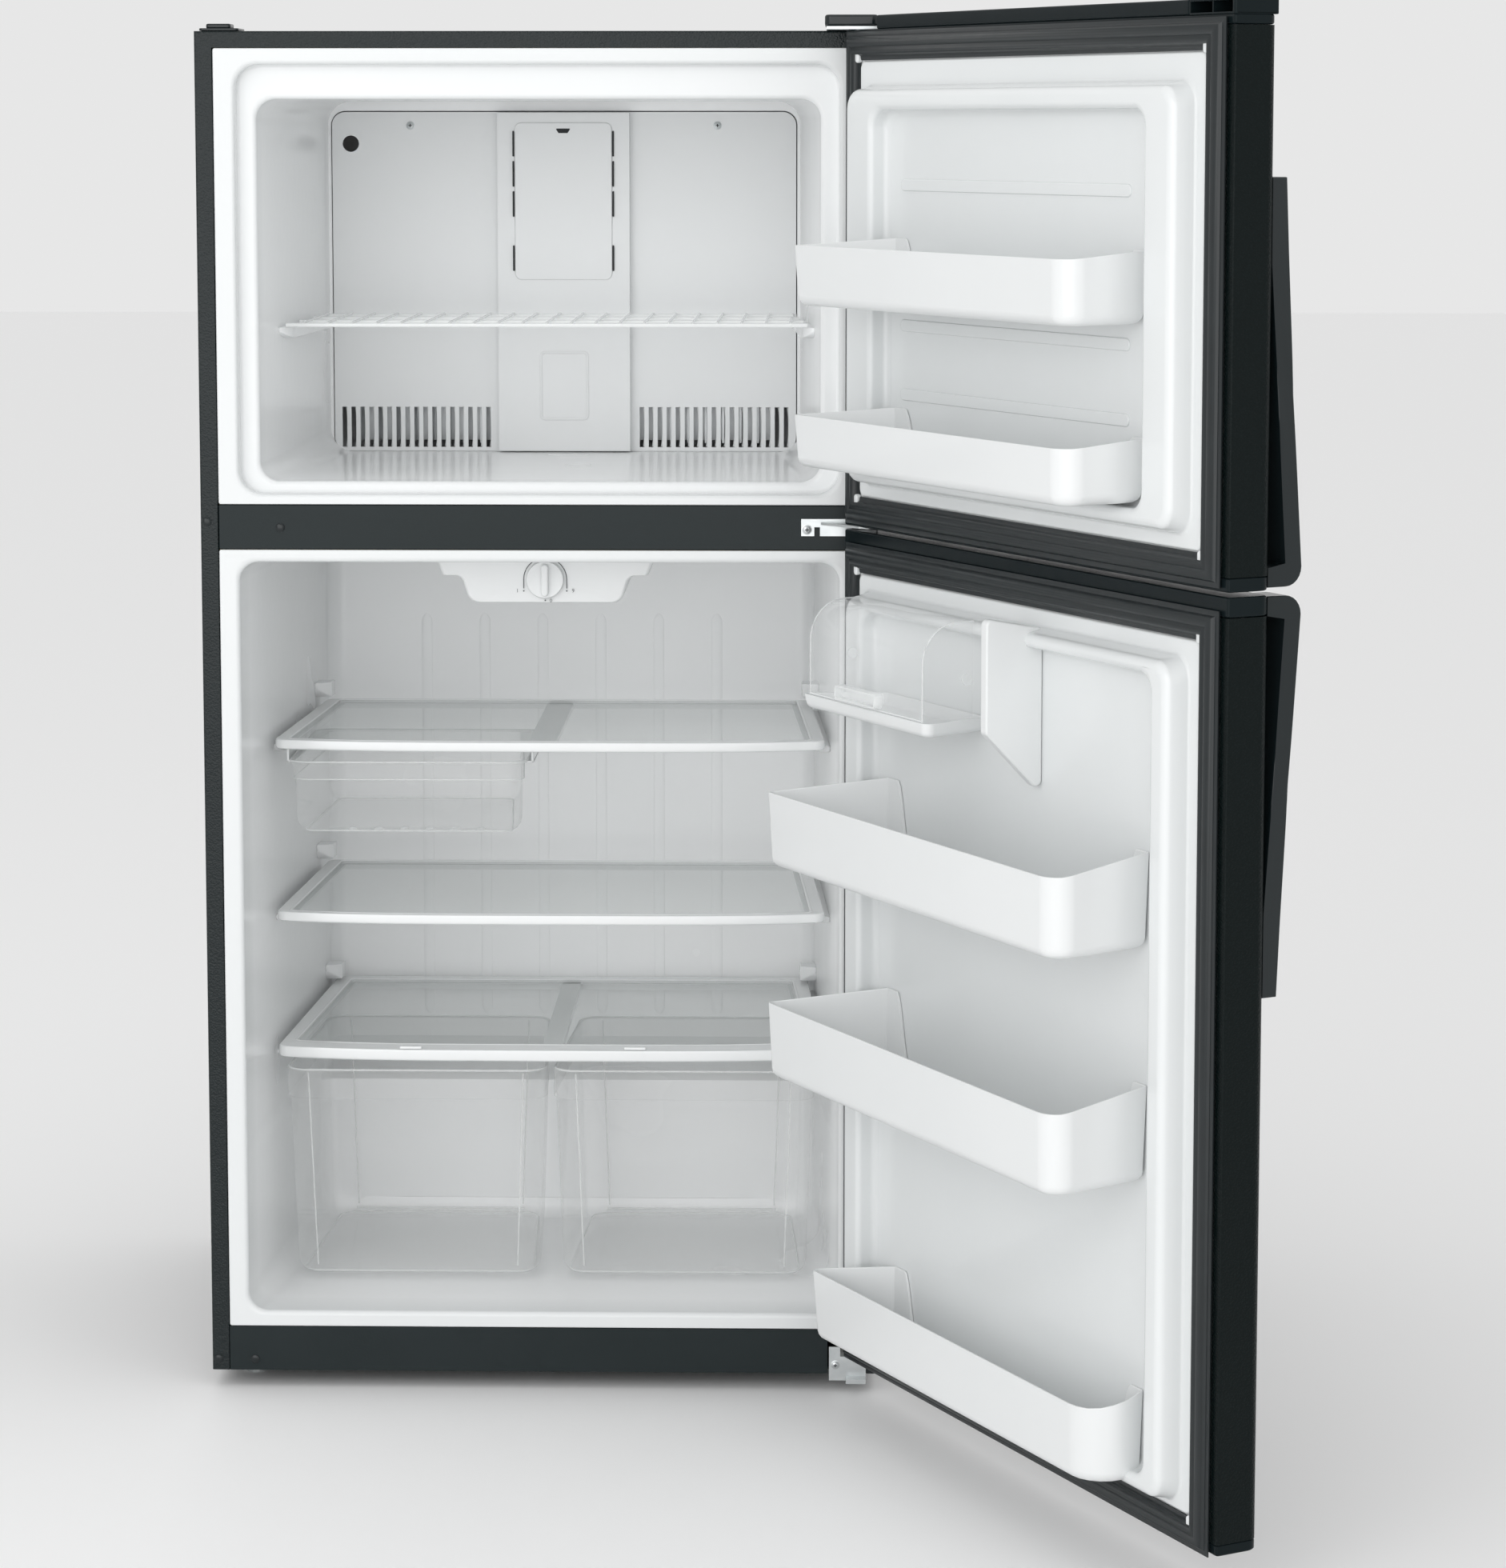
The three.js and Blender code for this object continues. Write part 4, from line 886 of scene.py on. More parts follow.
def control_box():
    """The control housing under the ceiling: a stepped front outline with rounded corners, carried back.
    Its front edge turns over a quarter circle and its lower lip leans back."""
    ceiling = FRIDGE["top"] - 0.6
    right = np.array([[95, 979.5], [106, 1014.6], [129, 1014.6], [139.5, ceiling]], float)
    corners = np.vstack([right, right[::-1] * [-1, 1]])
    outline = rounded(corners, [16, 12, 4, 0.5, 0.5, 4, 12, 16], 7)
    centre = np.array([0.0, ceiling])
    rings = []
    for b in np.linspace(0, np.pi / 2, 6):
        shrink = 1 - 0.035 * (1 - np.sin(b))
        rings.append(faced((outline - centre) * shrink + centre, CONTROL_FRONT + 5 * (1 - np.cos(b))))
    rings += [faced(outline, y) for y in (150, CONTROL_BACK)]
    grid = np.stack(rings)
    grid[..., 1] += np.clip((1000 - grid[..., 2]) / 30, 0, 1) ** 2 * 8
    return skin(list(grid), start=True, end=True)


make("control_box", control_box(), BIN_WHITE, "cabinet", replaces=["control_housing"],
     angle=30)


DIAL = 27.0
STOPS = ((-DIAL, KNOB_Z - 14.5, -8, 0), (DIAL, KNOB_Z - 14.5, 8, 0), (0.0, KNOB_Z - 26.5, 7, -0.5))


def dial_marks():
    """The printed scale round the knob: a horseshoe line, half a circle over two straight legs, and a dot
    at each stop."""
    angle = np.linspace(0, np.pi, 31)
    face = CONTROL_FRONT - 0.1
    arc = np.column_stack([DIAL * np.cos(angle), np.full(31, face), KNOB_Z + DIAL * np.sin(angle)])
    leg = np.array([[0, 0, -11.5], [0, 0, -6]])
    parts = [tube(np.vstack([arc[0] + leg, arc, arc[-1] + leg[::-1]]), 0.6, 6)]
    dot = [(0.05, -0.3), (1.0, -0.3), (1.0, 0.1), (0.05, 0.1)]
    parts += [turned(dot, (x, face, z), "y", 12) for x, z, _, _ in STOPS]
    return together(*parts)


make("dial_marks", dial_marks(), MARK_GREY, "cabinet", even=False)


def numeral(text, x, z, size):
    """One printed number on the control panel, as thin raised strokes."""
    curve = bpy.data.curves.new(f"numeral_{text}", "FONT")
    curve.body, curve.size, curve.extrude = text, size / 1000, 0.0001
    curve.align_x = curve.align_y = "CENTER"
    item = bpy.data.objects.new(f"numeral_{text}", curve)
    bpy.context.scene.collection.objects.link(item)
    bpy.context.view_layer.update()
    shape = bpy.data.meshes.new_from_object(item)
    bpy.data.objects.remove(item)
    points = np.empty(len(shape.vertices) * 3)
    shape.vertices.foreach_get("co", points)
    points = points.reshape(-1, 3) * 1000
    faces = [list(face.vertices) for face in shape.polygons]
    bpy.data.meshes.remove(shape)
    face = np.full(len(points), CONTROL_FRONT - 0.15)
    return np.column_stack([points[:, 0] + x, face, points[:, 1] + z]), faces


numbers = together(*[numeral(text, x + dx, z + dz, 6.5) for text, (x, z, dx, dz) in zip("190", STOPS)])
make("dial_numbers", numbers, MARK_GREY, "cabinet", even=False)


def knob():
    """The temperature knob: a shallow dish with a raised grip bar across it."""
    profile = [(23.4, 7.4), (23.4, 1.5), (22.6, 0.4), (21, 0), (17, 1.2), (0.05, 1.6)]
    dish = turned(profile, (0, CONTROL_FRONT - 8, KNOB_Z), "y", 48)
    bar = rect(-4.5, 4.5, KNOB_Z - 20, KNOB_Z + 20)
    grip = slab(bar, CONTROL_FRONT - 15, CONTROL_FRONT - 5, faced, 4.3, 1.8)
    return together(dish, grip)


make("knob", knob(), BIN_WHITE, "temperature_knob", replaces=["temperature_knob"])


def lamp_shade():
    """The ribbed lamp cover behind the control housing."""
    outline = rect(-62, 62, 988, FRIDGE["top"] - 0.6)
    y0, y1 = CONTROL_BACK + 0.6, CONTROL_BACK + 90
    steps = np.linspace(0, 1, 31)
    wave = 0.8 * (1 - np.cos(steps * 30 * np.pi))
    close = np.where(steps > 0.97, 4.0, 0.0)
    depths = y0 + (y1 - y0) * steps
    rings = [faced(rounded(drawn_in(outline, inset), 10, 6), y) for inset, y in zip(wave + close, depths)]
    return skin(rings, end=True)


make("lamp_shade", lamp_shade(), CLEAR, "cabinet", replaces=["lamp_cover"])

SHELF_GAP = 10.0
FRONT_BOW = 22.0


def shelf_outline(front, rear, bands=(0.0, 0.0, 0.0)):
    """A shelf's plan, following the liner's drafted walls at a set distance, less its side, front and
    rear bands."""
    side, near, far = bands
    wide = wall_at(FRIDGE, front) - SHELF_GAP - side
    narrow = wall_at(FRIDGE, rear) - SHELF_GAP - side
    y0, y1 = front + near, rear - far
    return np.array([[-wide, y0], [wide, y0], [narrow, y1], [-narrow, y1]])


def bowed(corners, radius, front, rear):
    """A shelf outline whose front bows: a point goes back by FRONT_BOW times the fourth power of its
    share of the half width, fading to nothing at the rear."""
    outline = subdivided(rounded(corners, radius, 8), 0, np.linspace(0.03, 0.97, 17))
    share = np.abs(outline[:, 0]) / np.abs(corners[:, 0]).max()
    outline[:, 1] += FRONT_BOW * share**4 * np.clip((rear - outline[:, 1]) / (rear - front), 0, 1)
    return outline


def shelf_rim(front, rear, top, height, bands):
    """The moulded frame round a shelf's glass: a rounded outer edge, a flat band with a raised bead along
    the glass, and a lip under the glass, closed on itself. Pairs are (inset, height) from the outer and
    the inner outline."""
    plan, hole = shelf_outline(front, rear), shelf_outline(front, rear, bands)
    foot = -height
    outer = [(2.5, foot), (0.6, foot + 1.4), (0.0, foot + 3.4), (0.0, -3), (0.8, -1.0), (2.6, -0.2)]
    bead = [(-3.4, -0.2), (-2.6, 0.5), (-1.0, 0.5), (0.0, -0.3), (0.0, -4.4)]
    lip = [(5.5, -4.4), (6.2, -5.2), (5.5, -6.4), (-2, -7), (-5.0, foot)]
    rings = []
    for outline, radius, pairs in ((plan, 12, outer), (hole, 6, bead + lip)):
        for inset, z in pairs:
            turned_in = bowed(drawn_in(outline, inset), max(radius - inset, 1.5), front, rear)
            rings.append(raised(turned_in, top + z))
    return skin(rings, ring=True)


def shelf_pane(front, rear, top, bands, gap):
    """The glass: a flat plate with ground edges, a small gap inside the frame."""
    hole = shelf_outline(front, rear, bands)
    layers = [(0.5, top - 4.2), (0, top - 3.7), (0, top - 1.2), (0.5, top - 0.7)]
    rings = [raised(bowed(drawn_in(hole, gap + i), 5, front, rear), z) for i, z in layers]
    return skin(rings, start=True, end=True)


UPPER_TOP, MIDDLE_TOP, COVER_TOP = 798.5, 576.0, 401.0
SHELF_FRONT, SHELF_REAR, COVER_REAR = 138.0, 535.0, 600.0
SHELF_BANDS, COVER_BANDS = (19.0, 9.0, 9.0), (21.0, 34.0, 24.0)
SHELF_DEEP, COVER_DEEP, GLASS_SEAT = 13.0, 15.5, 4.4
PAN = dict(left=-331.0, right=-27.0, front=135.0, rear=425.0, low=680.0, rim=773.0)
PAN_PLAN = rect(PAN["left"], PAN["right"], PAN["front"], PAN["rear"])
PAN_TAPER = PAN_PLAN + np.array([[0, 0], [0, 0], [-22, 0], [16, 0]])


def pan_rails():
    """The cross bar under the upper shelf and the two rails its pan hangs from."""
    under = UPPER_TOP - GLASS_SEAT
    bar = slab(rect(-28, 8, SHELF_FRONT + 8, SHELF_REAR - 8), under - 6, under, raised, 3, 1)
    web = slab(rect(-24, -21, SHELF_FRONT + 34, PAN["rear"]), 767, under - 1, raised, 1, 0.4)
    foot = slab(rect(-31, -21, SHELF_FRONT + 34, PAN["rear"]), 767, 769.4, raised, 1, 0.5)
    side_web = slab(rect(-336.6, -333.6, SHELF_FRONT + 34, 262), 767, 789, raised, 1, 0.4)
    side_foot = slab(rect(-336.6, -327, SHELF_FRONT + 34, 262), 767, 769.4, raised, 1, 0.5)
    return together(bar, web, foot, side_web, side_foot)


SHELF_WHITE = white_plastic("shelf trim white", (0.84, 0.86, 0.865), (0.89, 0.9, 0.9), 0.2, 0.4, 0.00005)
for word, level in (("upper", UPPER_TOP), ("middle", MIDDLE_TOP)):
    rim = shelf_rim(SHELF_FRONT, SHELF_REAR, level, SHELF_DEEP, SHELF_BANDS)
    parts = together(rim, pan_rails()) if word == "upper" else rim
    body, old = f"{word}_shelf", f"shelf_frame_{word}"
    make(f"{word}_shelf_rim", parts, SHELF_WHITE, body, replaces=[old])
    pane = shelf_pane(SHELF_FRONT, SHELF_REAR, level, SHELF_BANDS, 0.4)
    make(f"{word}_shelf_pane", pane, GLASS, body, replaces=[f"shelf_glass_{word}"])

bar_plan = rect(-13, 13, SHELF_FRONT + 6, COVER_REAR - 8)
cover_bar = slab(bar_plan, COVER_TOP - 15, COVER_TOP - GLASS_SEAT, raised, 2, 1)
cover_rim = together(shelf_rim(SHELF_FRONT, COVER_REAR, COVER_TOP, COVER_DEEP, COVER_BANDS), cover_bar)
make("cover_rim", cover_rim, SHELF_WHITE, "cabinet", replaces=["crisper_cover_frame"])
cover_pane = shelf_pane(SHELF_FRONT, COVER_REAR, COVER_TOP, COVER_BANDS, 1.8)
make("cover_pane", cover_pane, GLASS, "cabinet", replaces=["crisper_cover_glass"])
for word, x in (("left", -178), ("right", 109)):
    plan = rect(x - 14, x + 14, SHELF_FRONT + 0.6, SHELF_FRONT + 5.4)
    thumb = slab(plan, COVER_TOP + 0.5, COVER_TOP + 4, raised, 1.5, 1)
    slider = f"humidity_slider_{word}"
    make(f"humidity_thumb_{word}", thumb, SHELF_WHITE, slider, replaces=[slider])


def painted_highlight_line(outline, height, radius=0.9):
    """A thin bead along a closed outline at one height: a painted highlight where clear plastic looks white
    at its edges.
    """
    closed = np.vstack([outline, outline[:1]])
    return tube(raised(closed, height), radius, 6)


def upright_line(x, y, low, high, lean=(0.0, 0.0), radius=0.7):
    """A thin bead up a drawer's corner, leaning out with its walls: a painted highlight."""
    t = np.linspace(0, 1, 5)[:, None]
    return tube(np.array([[x, y, low]]) + t * np.array([[lean[0], lean[1], high - low]]), radius, 6)


DRAWER = dict(low=104.5, rim=375.5, band=339.0, flare=9.0)
drawer_plan = np.array([[-340, 130], [-2.4, 130], [-20, 455], [-321, 455]], float)


def drawer(side):
    """A crisper: a deep tray with leaning walls and round corners, under a broad band that stands proud
    all round."""
    plan = drawer_plan if side < 0 else (drawer_plan * [-1, 1])[::-1]
    low, high, band, flare = DRAWER["low"], DRAWER["rim"], DRAWER["band"], DRAWER["flare"]
    shell = tray_shell(drawn_in(plan, 1.2), low, high - 1, 2.4, raised, 30, 17, flare=flare, sheet=True)
    foot = [(1.4, band), (0.2, band - 0.6), (0.0, band + 0.8)]
    crest = [(0.0, high - 1.6), (0.6, high), (3.6, high), (4.4, high - 1.6)]
    rim = skin([raised(rounded(drawn_in(plan, i), 28 - i, 7), z) for i, z in foot + crest])
    return together(shell, rim)


def drawer_edges(side):
    """The edges of a crisper that catch the light, as painted highlights: beads along its rim, the foot of
    its band, the foot of its rear wall, and the inner line of each round corner."""
    plan = drawer_plan if side < 0 else (drawer_plan * [-1, 1])[::-1]
    inner = drawn_in(plan, 1.2 + 2.4 + DRAWER["flare"])
    low, flare = DRAWER["low"], DRAWER["flare"]
    parts = [painted_highlight_line(rounded(drawn_in(plan, 1.8), 27, 7), DRAWER["rim"], 1.3)]
    parts.append(painted_highlight_line(rounded(drawn_in(plan, flare + 9.8), 22, 7), low + 4.4, 1.1))
    rear = inner[inner[:, 1] > 300]
    x = np.linspace(rear[:, 0].min() + 24, rear[:, 0].max() - 24, 9)
    parts.append(tube(np.column_stack([x, np.full(9, 455 - 14.0), np.full(9, low + 9.0)]), 1.6, 6))
    for x, y in inner:
        toward = 27.0 * np.sign(inner[:, 0].mean() - x)
        lean = (-math.copysign(flare, toward), math.copysign(flare, y - 300))
        parts.append(upright_line(x + toward, y, low + 14, DRAWER["rim"] - 4, lean, 1.0))
    return together(*parts)


for word, side in (("left", -1), ("right", 1)):
    name = f"crisper_{word}"
    make(f"drawer_{word}", drawer(side), CLEAR, name, replaces=[name], even=False)
    make(f"drawer_{word}_edges", drawer_edges(side), CLEAR_EDGE_PAINTED_HIGHLIGHT, name, even=False)


def snack_tray():
    """The shallow pan under the upper shelf: rounded floor, a band round its top that stands proud, and a
    flat hanging rim."""
    low, high, band = PAN["low"], PAN["rim"], PAN["rim"] - 23
    shell = tray_shell(drawn_in(PAN_TAPER, 4.5), low, high - 1, 2.4, raised, 22, 19, flare=2.0, sheet=True)
    proud = [(4.6, band), (3.2, band - 0.5), (2.8, band + 0.6), (2.6, high - 3)]
    hanging, inside = [(0, high - 2.6), (0, high - 0.6), (0.6, high)], [(7.5, high), (8.2, high - 1)]
    rings = []
    for plan, pairs in ((PAN_TAPER, proud), (PAN_PLAN, hanging), (PAN_TAPER, inside)):
        rings += [raised(rounded(drawn_in(plan, i), max(24 - i, 4), 7), z) for i, z in pairs]
    rim = skin(rings)
    return together(shell, rim)


def snack_tray_edges():
    """The pan's bright edges: beads along its rim and the foot of its band as painted highlights, and the
    row of low feet under its floor, real bumps in the same whiter clear.
    """
    parts = [
        painted_highlight_line(rounded(drawn_in(PAN_PLAN, 1.0), 23, 7), PAN["rim"] - 0.4, 0.9),
        painted_highlight_line(rounded(drawn_in(PAN_TAPER, 3.4), 20, 7), PAN["rim"] - 23, 0.8),
        painted_highlight_line(rounded(drawn_in(PAN_TAPER, 18), 12, 7), PAN["low"] + 2.0, 1.0),
    ]
    low = PAN["low"]
    foot = [(0.05, low + 4.4), (3.5, low + 3.9), (6.0, low + 2.2), (6.4, low + 1.4)]
    parts += [turned(foot, (x, PAN["front"] + 34, 0), "z", 16) for x in np.linspace(-252, -88, 6)]
    return together(*parts)


make("snack_tray", snack_tray(), CLEAR, "snack_pan", replaces=["snack_pan"],
     even=False)
make("snack_tray_edges", snack_tray_edges(), CLEAR_EDGE_PAINTED_HIGHLIGHT, "snack_pan", even=False)

# ---------------------------------------------------------------- doors

SKIN_BACK, FACE = -12.4, -66.0
DOORS = {
    "freezer": dict(low=1094.0, top=1706.0, skin=(1109.4, 1678.6), pad=(1133, 1652),
                    frame=(1150, 1622), recess=(1172, 1594), half=295),
    "fridge": dict(low=63.0, top=1089.0, skin=(75.4, 1067.2), pad=(95, 1039),
                   frame=(104, 1020), recess=(125, 1000), half=318),
}
DOOR_PLAN = rect(-HALF, HALF, FACE, SKIN_BACK)
FRONT_RADII = np.array([12.0, 12.0, 2.2, 2.2])


def door_shell(low, top):
    """The door's folded skin: its plan outline with rounded front edges, carried up, closed at both
    ends."""
    outline = rounded(DOOR_PLAN, FRONT_RADII, 9)
    return skin([raised(outline, z) for z in (low, low + 30, top - 30, top)], start=True, end=True)


def door_cap(low, top):
    """An end cap: the door's plan outline with its edges softened by quarter circles."""
    edge = 2.4
    bend = np.linspace(0, np.pi / 2, 5)
    layers = [(edge * (1 - np.sin(b)), low + edge * (1 - np.cos(b))) for b in bend]
    layers += [(edge * (1 - np.cos(b)), top - edge * (1 - np.sin(b))) for b in bend]
    rings = [raised(rounded(drawn_in(DOOR_PLAN, i), FRONT_RADII + 0.5, 9), z) for i, z in layers]
    return skin(rings, start=True, end=True)


def door_liner(door):
    """The door's moulded liner: a thin flange, a pad, a raised frame with rounded shoulders, and the
    recess inside it, as rounded rectangles at changing depth."""
    pad = rect(-370, 370, *door["pad"])
    raised_frame = rect(-354, 362, *door["frame"])
    recess = rect(-door["half"], door["half"], *door["recess"])
    bend = np.linspace(0, np.pi / 2, 6)
    rise, turn = [np.sin(b) for b in bend], [1 - np.cos(b) for b in bend]
    fall = [1 - r for r in rise]
    rings = [(pad, -30, -12.0, 4.0), (pad, -30, -10.6, 4.0), (pad, -1, -10.6, 5.0)]
    rings += [(pad, 3 * t, -10 + 3 * r, 8.0) for t, r in zip(turn, rise)]
    rings += [(raised_frame, -4 * f, -7 + 4 * t, 26.0) for f, t in zip(fall, turn)]
    rings += [(raised_frame, 3 + 11 * t, 10 + 11 * r, 26.0 - 6 * b) for t, r, b in zip(turn, rise, bend)]
    rings += [(recess, -7 * f, 21 - 7 * t, 24.0) for f, t in zip(fall, turn)]
    rings += [(recess, 9 * t, 5 - 9 * r, 22.0) for t, r in zip(turn, rise)]
    rings += [(recess, inset, -4.0, 24.0) for inset in (20, 60, 110, 160)]
    return skin([faced(rounded(drawn_in(c, inset), r, 9), y) for c, inset, y, r in rings], end=True)


GASKET_PROFILE = [
    (0.0, -9.6), (0.0, -8.2), (3.0, -7.0), (5.5, -7.2), (7.0, -5.2), (8.5, -2.8),
    (11.0, -1.2), (14.0, -0.6), (17.0, -1.1), (18.6, -2.6), (19.6, -2.2), (21.4, -0.9),
    (24.0, -0.6), (26.2, -1.6), (27.4, -4.2), (29.0, -6.8), (31.5, -7.2), (34.0, -8.0),
    (34.0, -9.6),
]


def gasket(door):
    """The magnetic seal: a ridged profile of (inset, depth) pairs carried round the liner's pad, mitred
    at the corners."""
    outer = drawn_in(rect(-370, 370, *door["pad"]), -35)
    return skin([faced(drawn_in(outer, inset), y) for inset, y in GASKET_PROFILE], ring=True)


def grip(split, way):
    """The handle: a flat-backed bar bowed off the door's face. Its outside and inside lines are curves in
    (depth, height), and the bar's width is 40 with rounded edges. way is 1 upwards from the split and -1
    downwards."""
    t = np.linspace(0, 1, 28)
    far, root = 427.0, FACE - 0.5
    foot = np.linspace(0, np.pi / 2, 7)
    outside = np.column_stack([FACE - 18 - 25 * (1 - t) ** 1.15, 20 + (far - 20) * t])
    corner = np.column_stack([FACE - 24 - 19 * np.sin(foot), 20 - 20 * np.cos(foot)])
    inside = np.column_stack([root - np.clip(22 * (1 - t * 1.28), 0, None), 24 + (far - 24) * t])
    outline = np.vstack([[[root, 0.0]], corner, outside[1:], inside[::-1], [[root, 20.0]]])
    mid = outline.mean(0)
    rings = []
    for x, shrink in ((-408, 2.4), (-407.3, 0.9), (-405.6, 0), (-370.4, 0), (-368.7, 0.9), (-368, 2.4)):
        toward = unit(mid - outline)
        line = outline + toward * shrink * np.array([1.0, 0.3])
        line[:, 0] = np.minimum(line[:, 0], FACE - 0.45)
        rings.append(np.column_stack([np.full(len(line), x), line[:, 0], split + way * line[:, 1]]))
    return rings


def grip_surface(split, way):
    """The handle's side walls and its two flat sides, which are strips between the outside and the inside
    line."""
    rings = grip(split, way)
    body = skin(rings)
    ends = []
    for ring in (rings[0], rings[-1]):
        count = len(ring) // 2
        ends.append(skin([ring[:count], ring[::-1][:count]], around=False))
    return together(body, *ends)


def bin_shell(bin_, low, top, rise, radii):
    """A door bin: a tapered tray whose rim climbs towards the door. Its back wall drops to a low lip
    between two tabs that lie on the liner, by a smooth step over the tabs' sloping edge."""
    plan = np.array([[-bin_["front_free"], bin_["front"]], [-bin_["rear_free"], bin_["back"]],
                     [bin_["rear_hinge"], bin_["back"]], [bin_["front_hinge"], bin_["front"]]], float)
    start, end = np.linspace(0.01, 0.12, 16), np.linspace(0.88, 0.99, 16)
    along = np.concatenate([start, np.linspace(0.2, 0.8, 5), end])
    points, faces = tray_shell(plan, low, top, 2.6, raised, radii, 12, flare=3.0, extra=(1, along))
    deep = bin_["front"] - bin_["back"]
    share = np.clip((points[:, 2] - low - 14) / (top - low - 14), 0, 1)
    climb = np.clip((bin_["front"] - 14 - points[:, 1]) / (deep - 14), 0, 1)
    points[:, 2] += rise * share * climb
    from_end = np.minimum(points[:, 0] + bin_["rear_free"], bin_["rear_hinge"] - points[:, 0])
    step = np.clip((from_end - 24) / 26, 0, 1)
    drop = step * step * (3 - 2 * step) * (points[:, 1] < bin_["back"] + 8) * (points[:, 2] > low + 13)
    points[:, 2] -= drop * (points[:, 2] - (low + 13)) * (1 - 14 / (top + rise - low))
    return points, faces


FREEZER_BIN = dict(back=-3.4, front=108, rear_hinge=272, front_hinge=331, rear_free=270, front_free=284)
FRIDGE_BIN = dict(back=-3.4, front=131, rear_hinge=286, front_hinge=352, rear_free=286, front_free=308)
LOWEST_BIN = dict(back=-3.4, front=72, rear_hinge=264, front_hinge=360, rear_free=284, front_free=316)
BINS = [
    ("freezer", "upper", FREEZER_BIN, 1366, 1437, 8),
    ("freezer", "lower", FREEZER_BIN, 1176, 1238, 8),
    ("fridge", "upper", FRIDGE_BIN, 697, 787, 16),
    ("fridge", "middle", FRIDGE_BIN, 441, 532, 16),
    ("fridge", "lower", LOWEST_BIN, 112, 197, 14),
]

for word, door in DOORS.items():
    body = f"{word}_door"
    shell, seal = door_shell(*door["skin"]), [f"{body}_gasket"]
    make(f"{word}_shell", shell, DOOR_PEBBLED_PAINTED_SHADE, body, on_door, [f"{body}_skin"])
    upper = door_cap(door["skin"][1] + 0.4, door["top"] - (16 if word == "freezer" else 0))
    make(f"{word}_upper_cap", upper, CAP_BLACK, body, on_door, [f"{body}_top_cap"])
    lower = door_cap(door["low"], door["skin"][0] - 0.4)
    make(f"{word}_lower_cap", lower, CAP_BLACK, body, on_door, [f"{body}_bottom_cap"])
    make(f"{word}_door_tub", door_liner(door), LINER_WHITE, body, on_door, [f"{body}_liner"])
    make(f"{word}_seal", gasket(door), RUBBER, body, on_door, seal, angle=55, even=False)
    split, way = (1096, 1) if word == "freezer" else (1087, -1)
    handle = grip_surface(split, way)
    make(f"{word}_grip", handle, BLACK_GLOSS, body, on_door, [f"{body}_handle"])


def freezer_top_step():
    """The upper part of the freezer door's top cap, with two open pockets at its free end: a block, then
    a floor, a roof, an end wall, a front wall and a divider."""
    low, high, pocket = 1689.5, 1706.0, -329.0
    return together(
        slab(rect(pocket - 1, 341, FACE, SKIN_BACK), low, high, raised, 3, 2),
        slab(rect(-HALF, pocket, FACE, SKIN_BACK), low, low + 2.5, raised, 3, 0.6),
        slab(rect(-HALF, pocket, FACE, SKIN_BACK), high - 2.6, high, raised, 3, 0.8),
        slab(rect(-HALF, -HALF + 7, FACE, SKIN_BACK), low, high, raised, 2.5, 1),
        slab(rect(-HALF, pocket, FACE, FACE + 3), low, high, raised, 1.4, 1),
        slab(rect(-374, -372, FACE + 2, SKIN_BACK - 0.5), low + 0.5, high - 1, raised, 0.8, 0.2),
    )


make("freezer_top_step", freezer_top_step(), CAP_BLACK, "freezer_door", on_door)

for word, place_word, bin_, low, top, rise in BINS:
    radii = np.array([44.0 if bin_ is LOWEST_BIN else 26.0, 3.0, 3.0, 9.0])
    tray, old = bin_shell(bin_, low, top, rise, radii), f"{word}_bin_{place_word}"
    make(f"{word}_{place_word}_shelf_bin", tray, BIN_WHITE, f"{word}_door", on_door, [old])

rib_plans = [rect(-236, 262, z - 7, z + 7) for z in (1507, 1343, 1262)]
liner_ribs = together(*[slab(plan, -5, -2.4, faced, 6.5, 1.4) for plan in rib_plans])
make("freezer_liner_ribs", liner_ribs, LINER_WHITE, "freezer_door", on_door)
for word, door in DOORS.items():
    corners = [(x, z) for x in (-373, 373) for z in (door["pad"][0] - 5, door["pad"][1] + 5)]
    tabs = [slab(rect(x - 4.2, x + 4.2, z - 7, z + 7), -10, -3.6, faced, 4.1, 1.6) for x, z in corners]
    make(f"{word}_liner_tabs", together(*tabs), LINER_WHITE, f"{word}_door", on_door)

# ---------------------------------------------------------------- dairy box

def dairy_base():
    """The dairy tray: shallow, wider at the front, with a rounded floor."""
    plan = np.array([[32, 91], [56, -3.4], [290, -3.4], [338, 91]], float)
    return tray_shell(plan, 888, 905, 2.5, raised, 10, 7, flare=2.0)


def hood_line():
    """The lid's side line in (depth, height): up the front, over a quarter circle, and back to the
    hinge."""
    bend = np.linspace(0, np.pi / 2, 10)
    curve = 46.0
    roll = np.column_stack([89 - curve + curve * np.cos(bend), 1018 - curve + curve * np.sin(bend)])
    return np.vstack([[[89.0, 906.0]], [[89.0, 930.0]], roll, [[32.0, 1018.0]], [[22.6, 1018.0]]])


def dairy_hood():
    """The clear lid: its side line carried across, with two end walls."""
    line = hood_line()
    x = np.array([46.4, 47.2, 49.5, 140, 220, 312.5, 314.8, 315.6])
    tuck = np.array([3.5, 1.2, 0, 0, 0, 0, 1.2, 3.5])
    middle = np.array([50.0, 950.0])
    shell = []
    for across, t in zip(x, tuck):
        shell.append(sided(line + unit(middle - line) * t, across))
    hood = skin(shell, around=False)
    ends = []
    for across, ring in ((46.4, shell[0]), (315.6, shell[-1])):
        foot = ring.copy()
        foot[:, 1] = np.minimum(foot[:, 1], 22.6)
        foot[:, 2] = np.clip(ring[:, 2], 906, 1014)
        ends.append(skin([ring, foot], around=False))
    return together(hood, *ends)


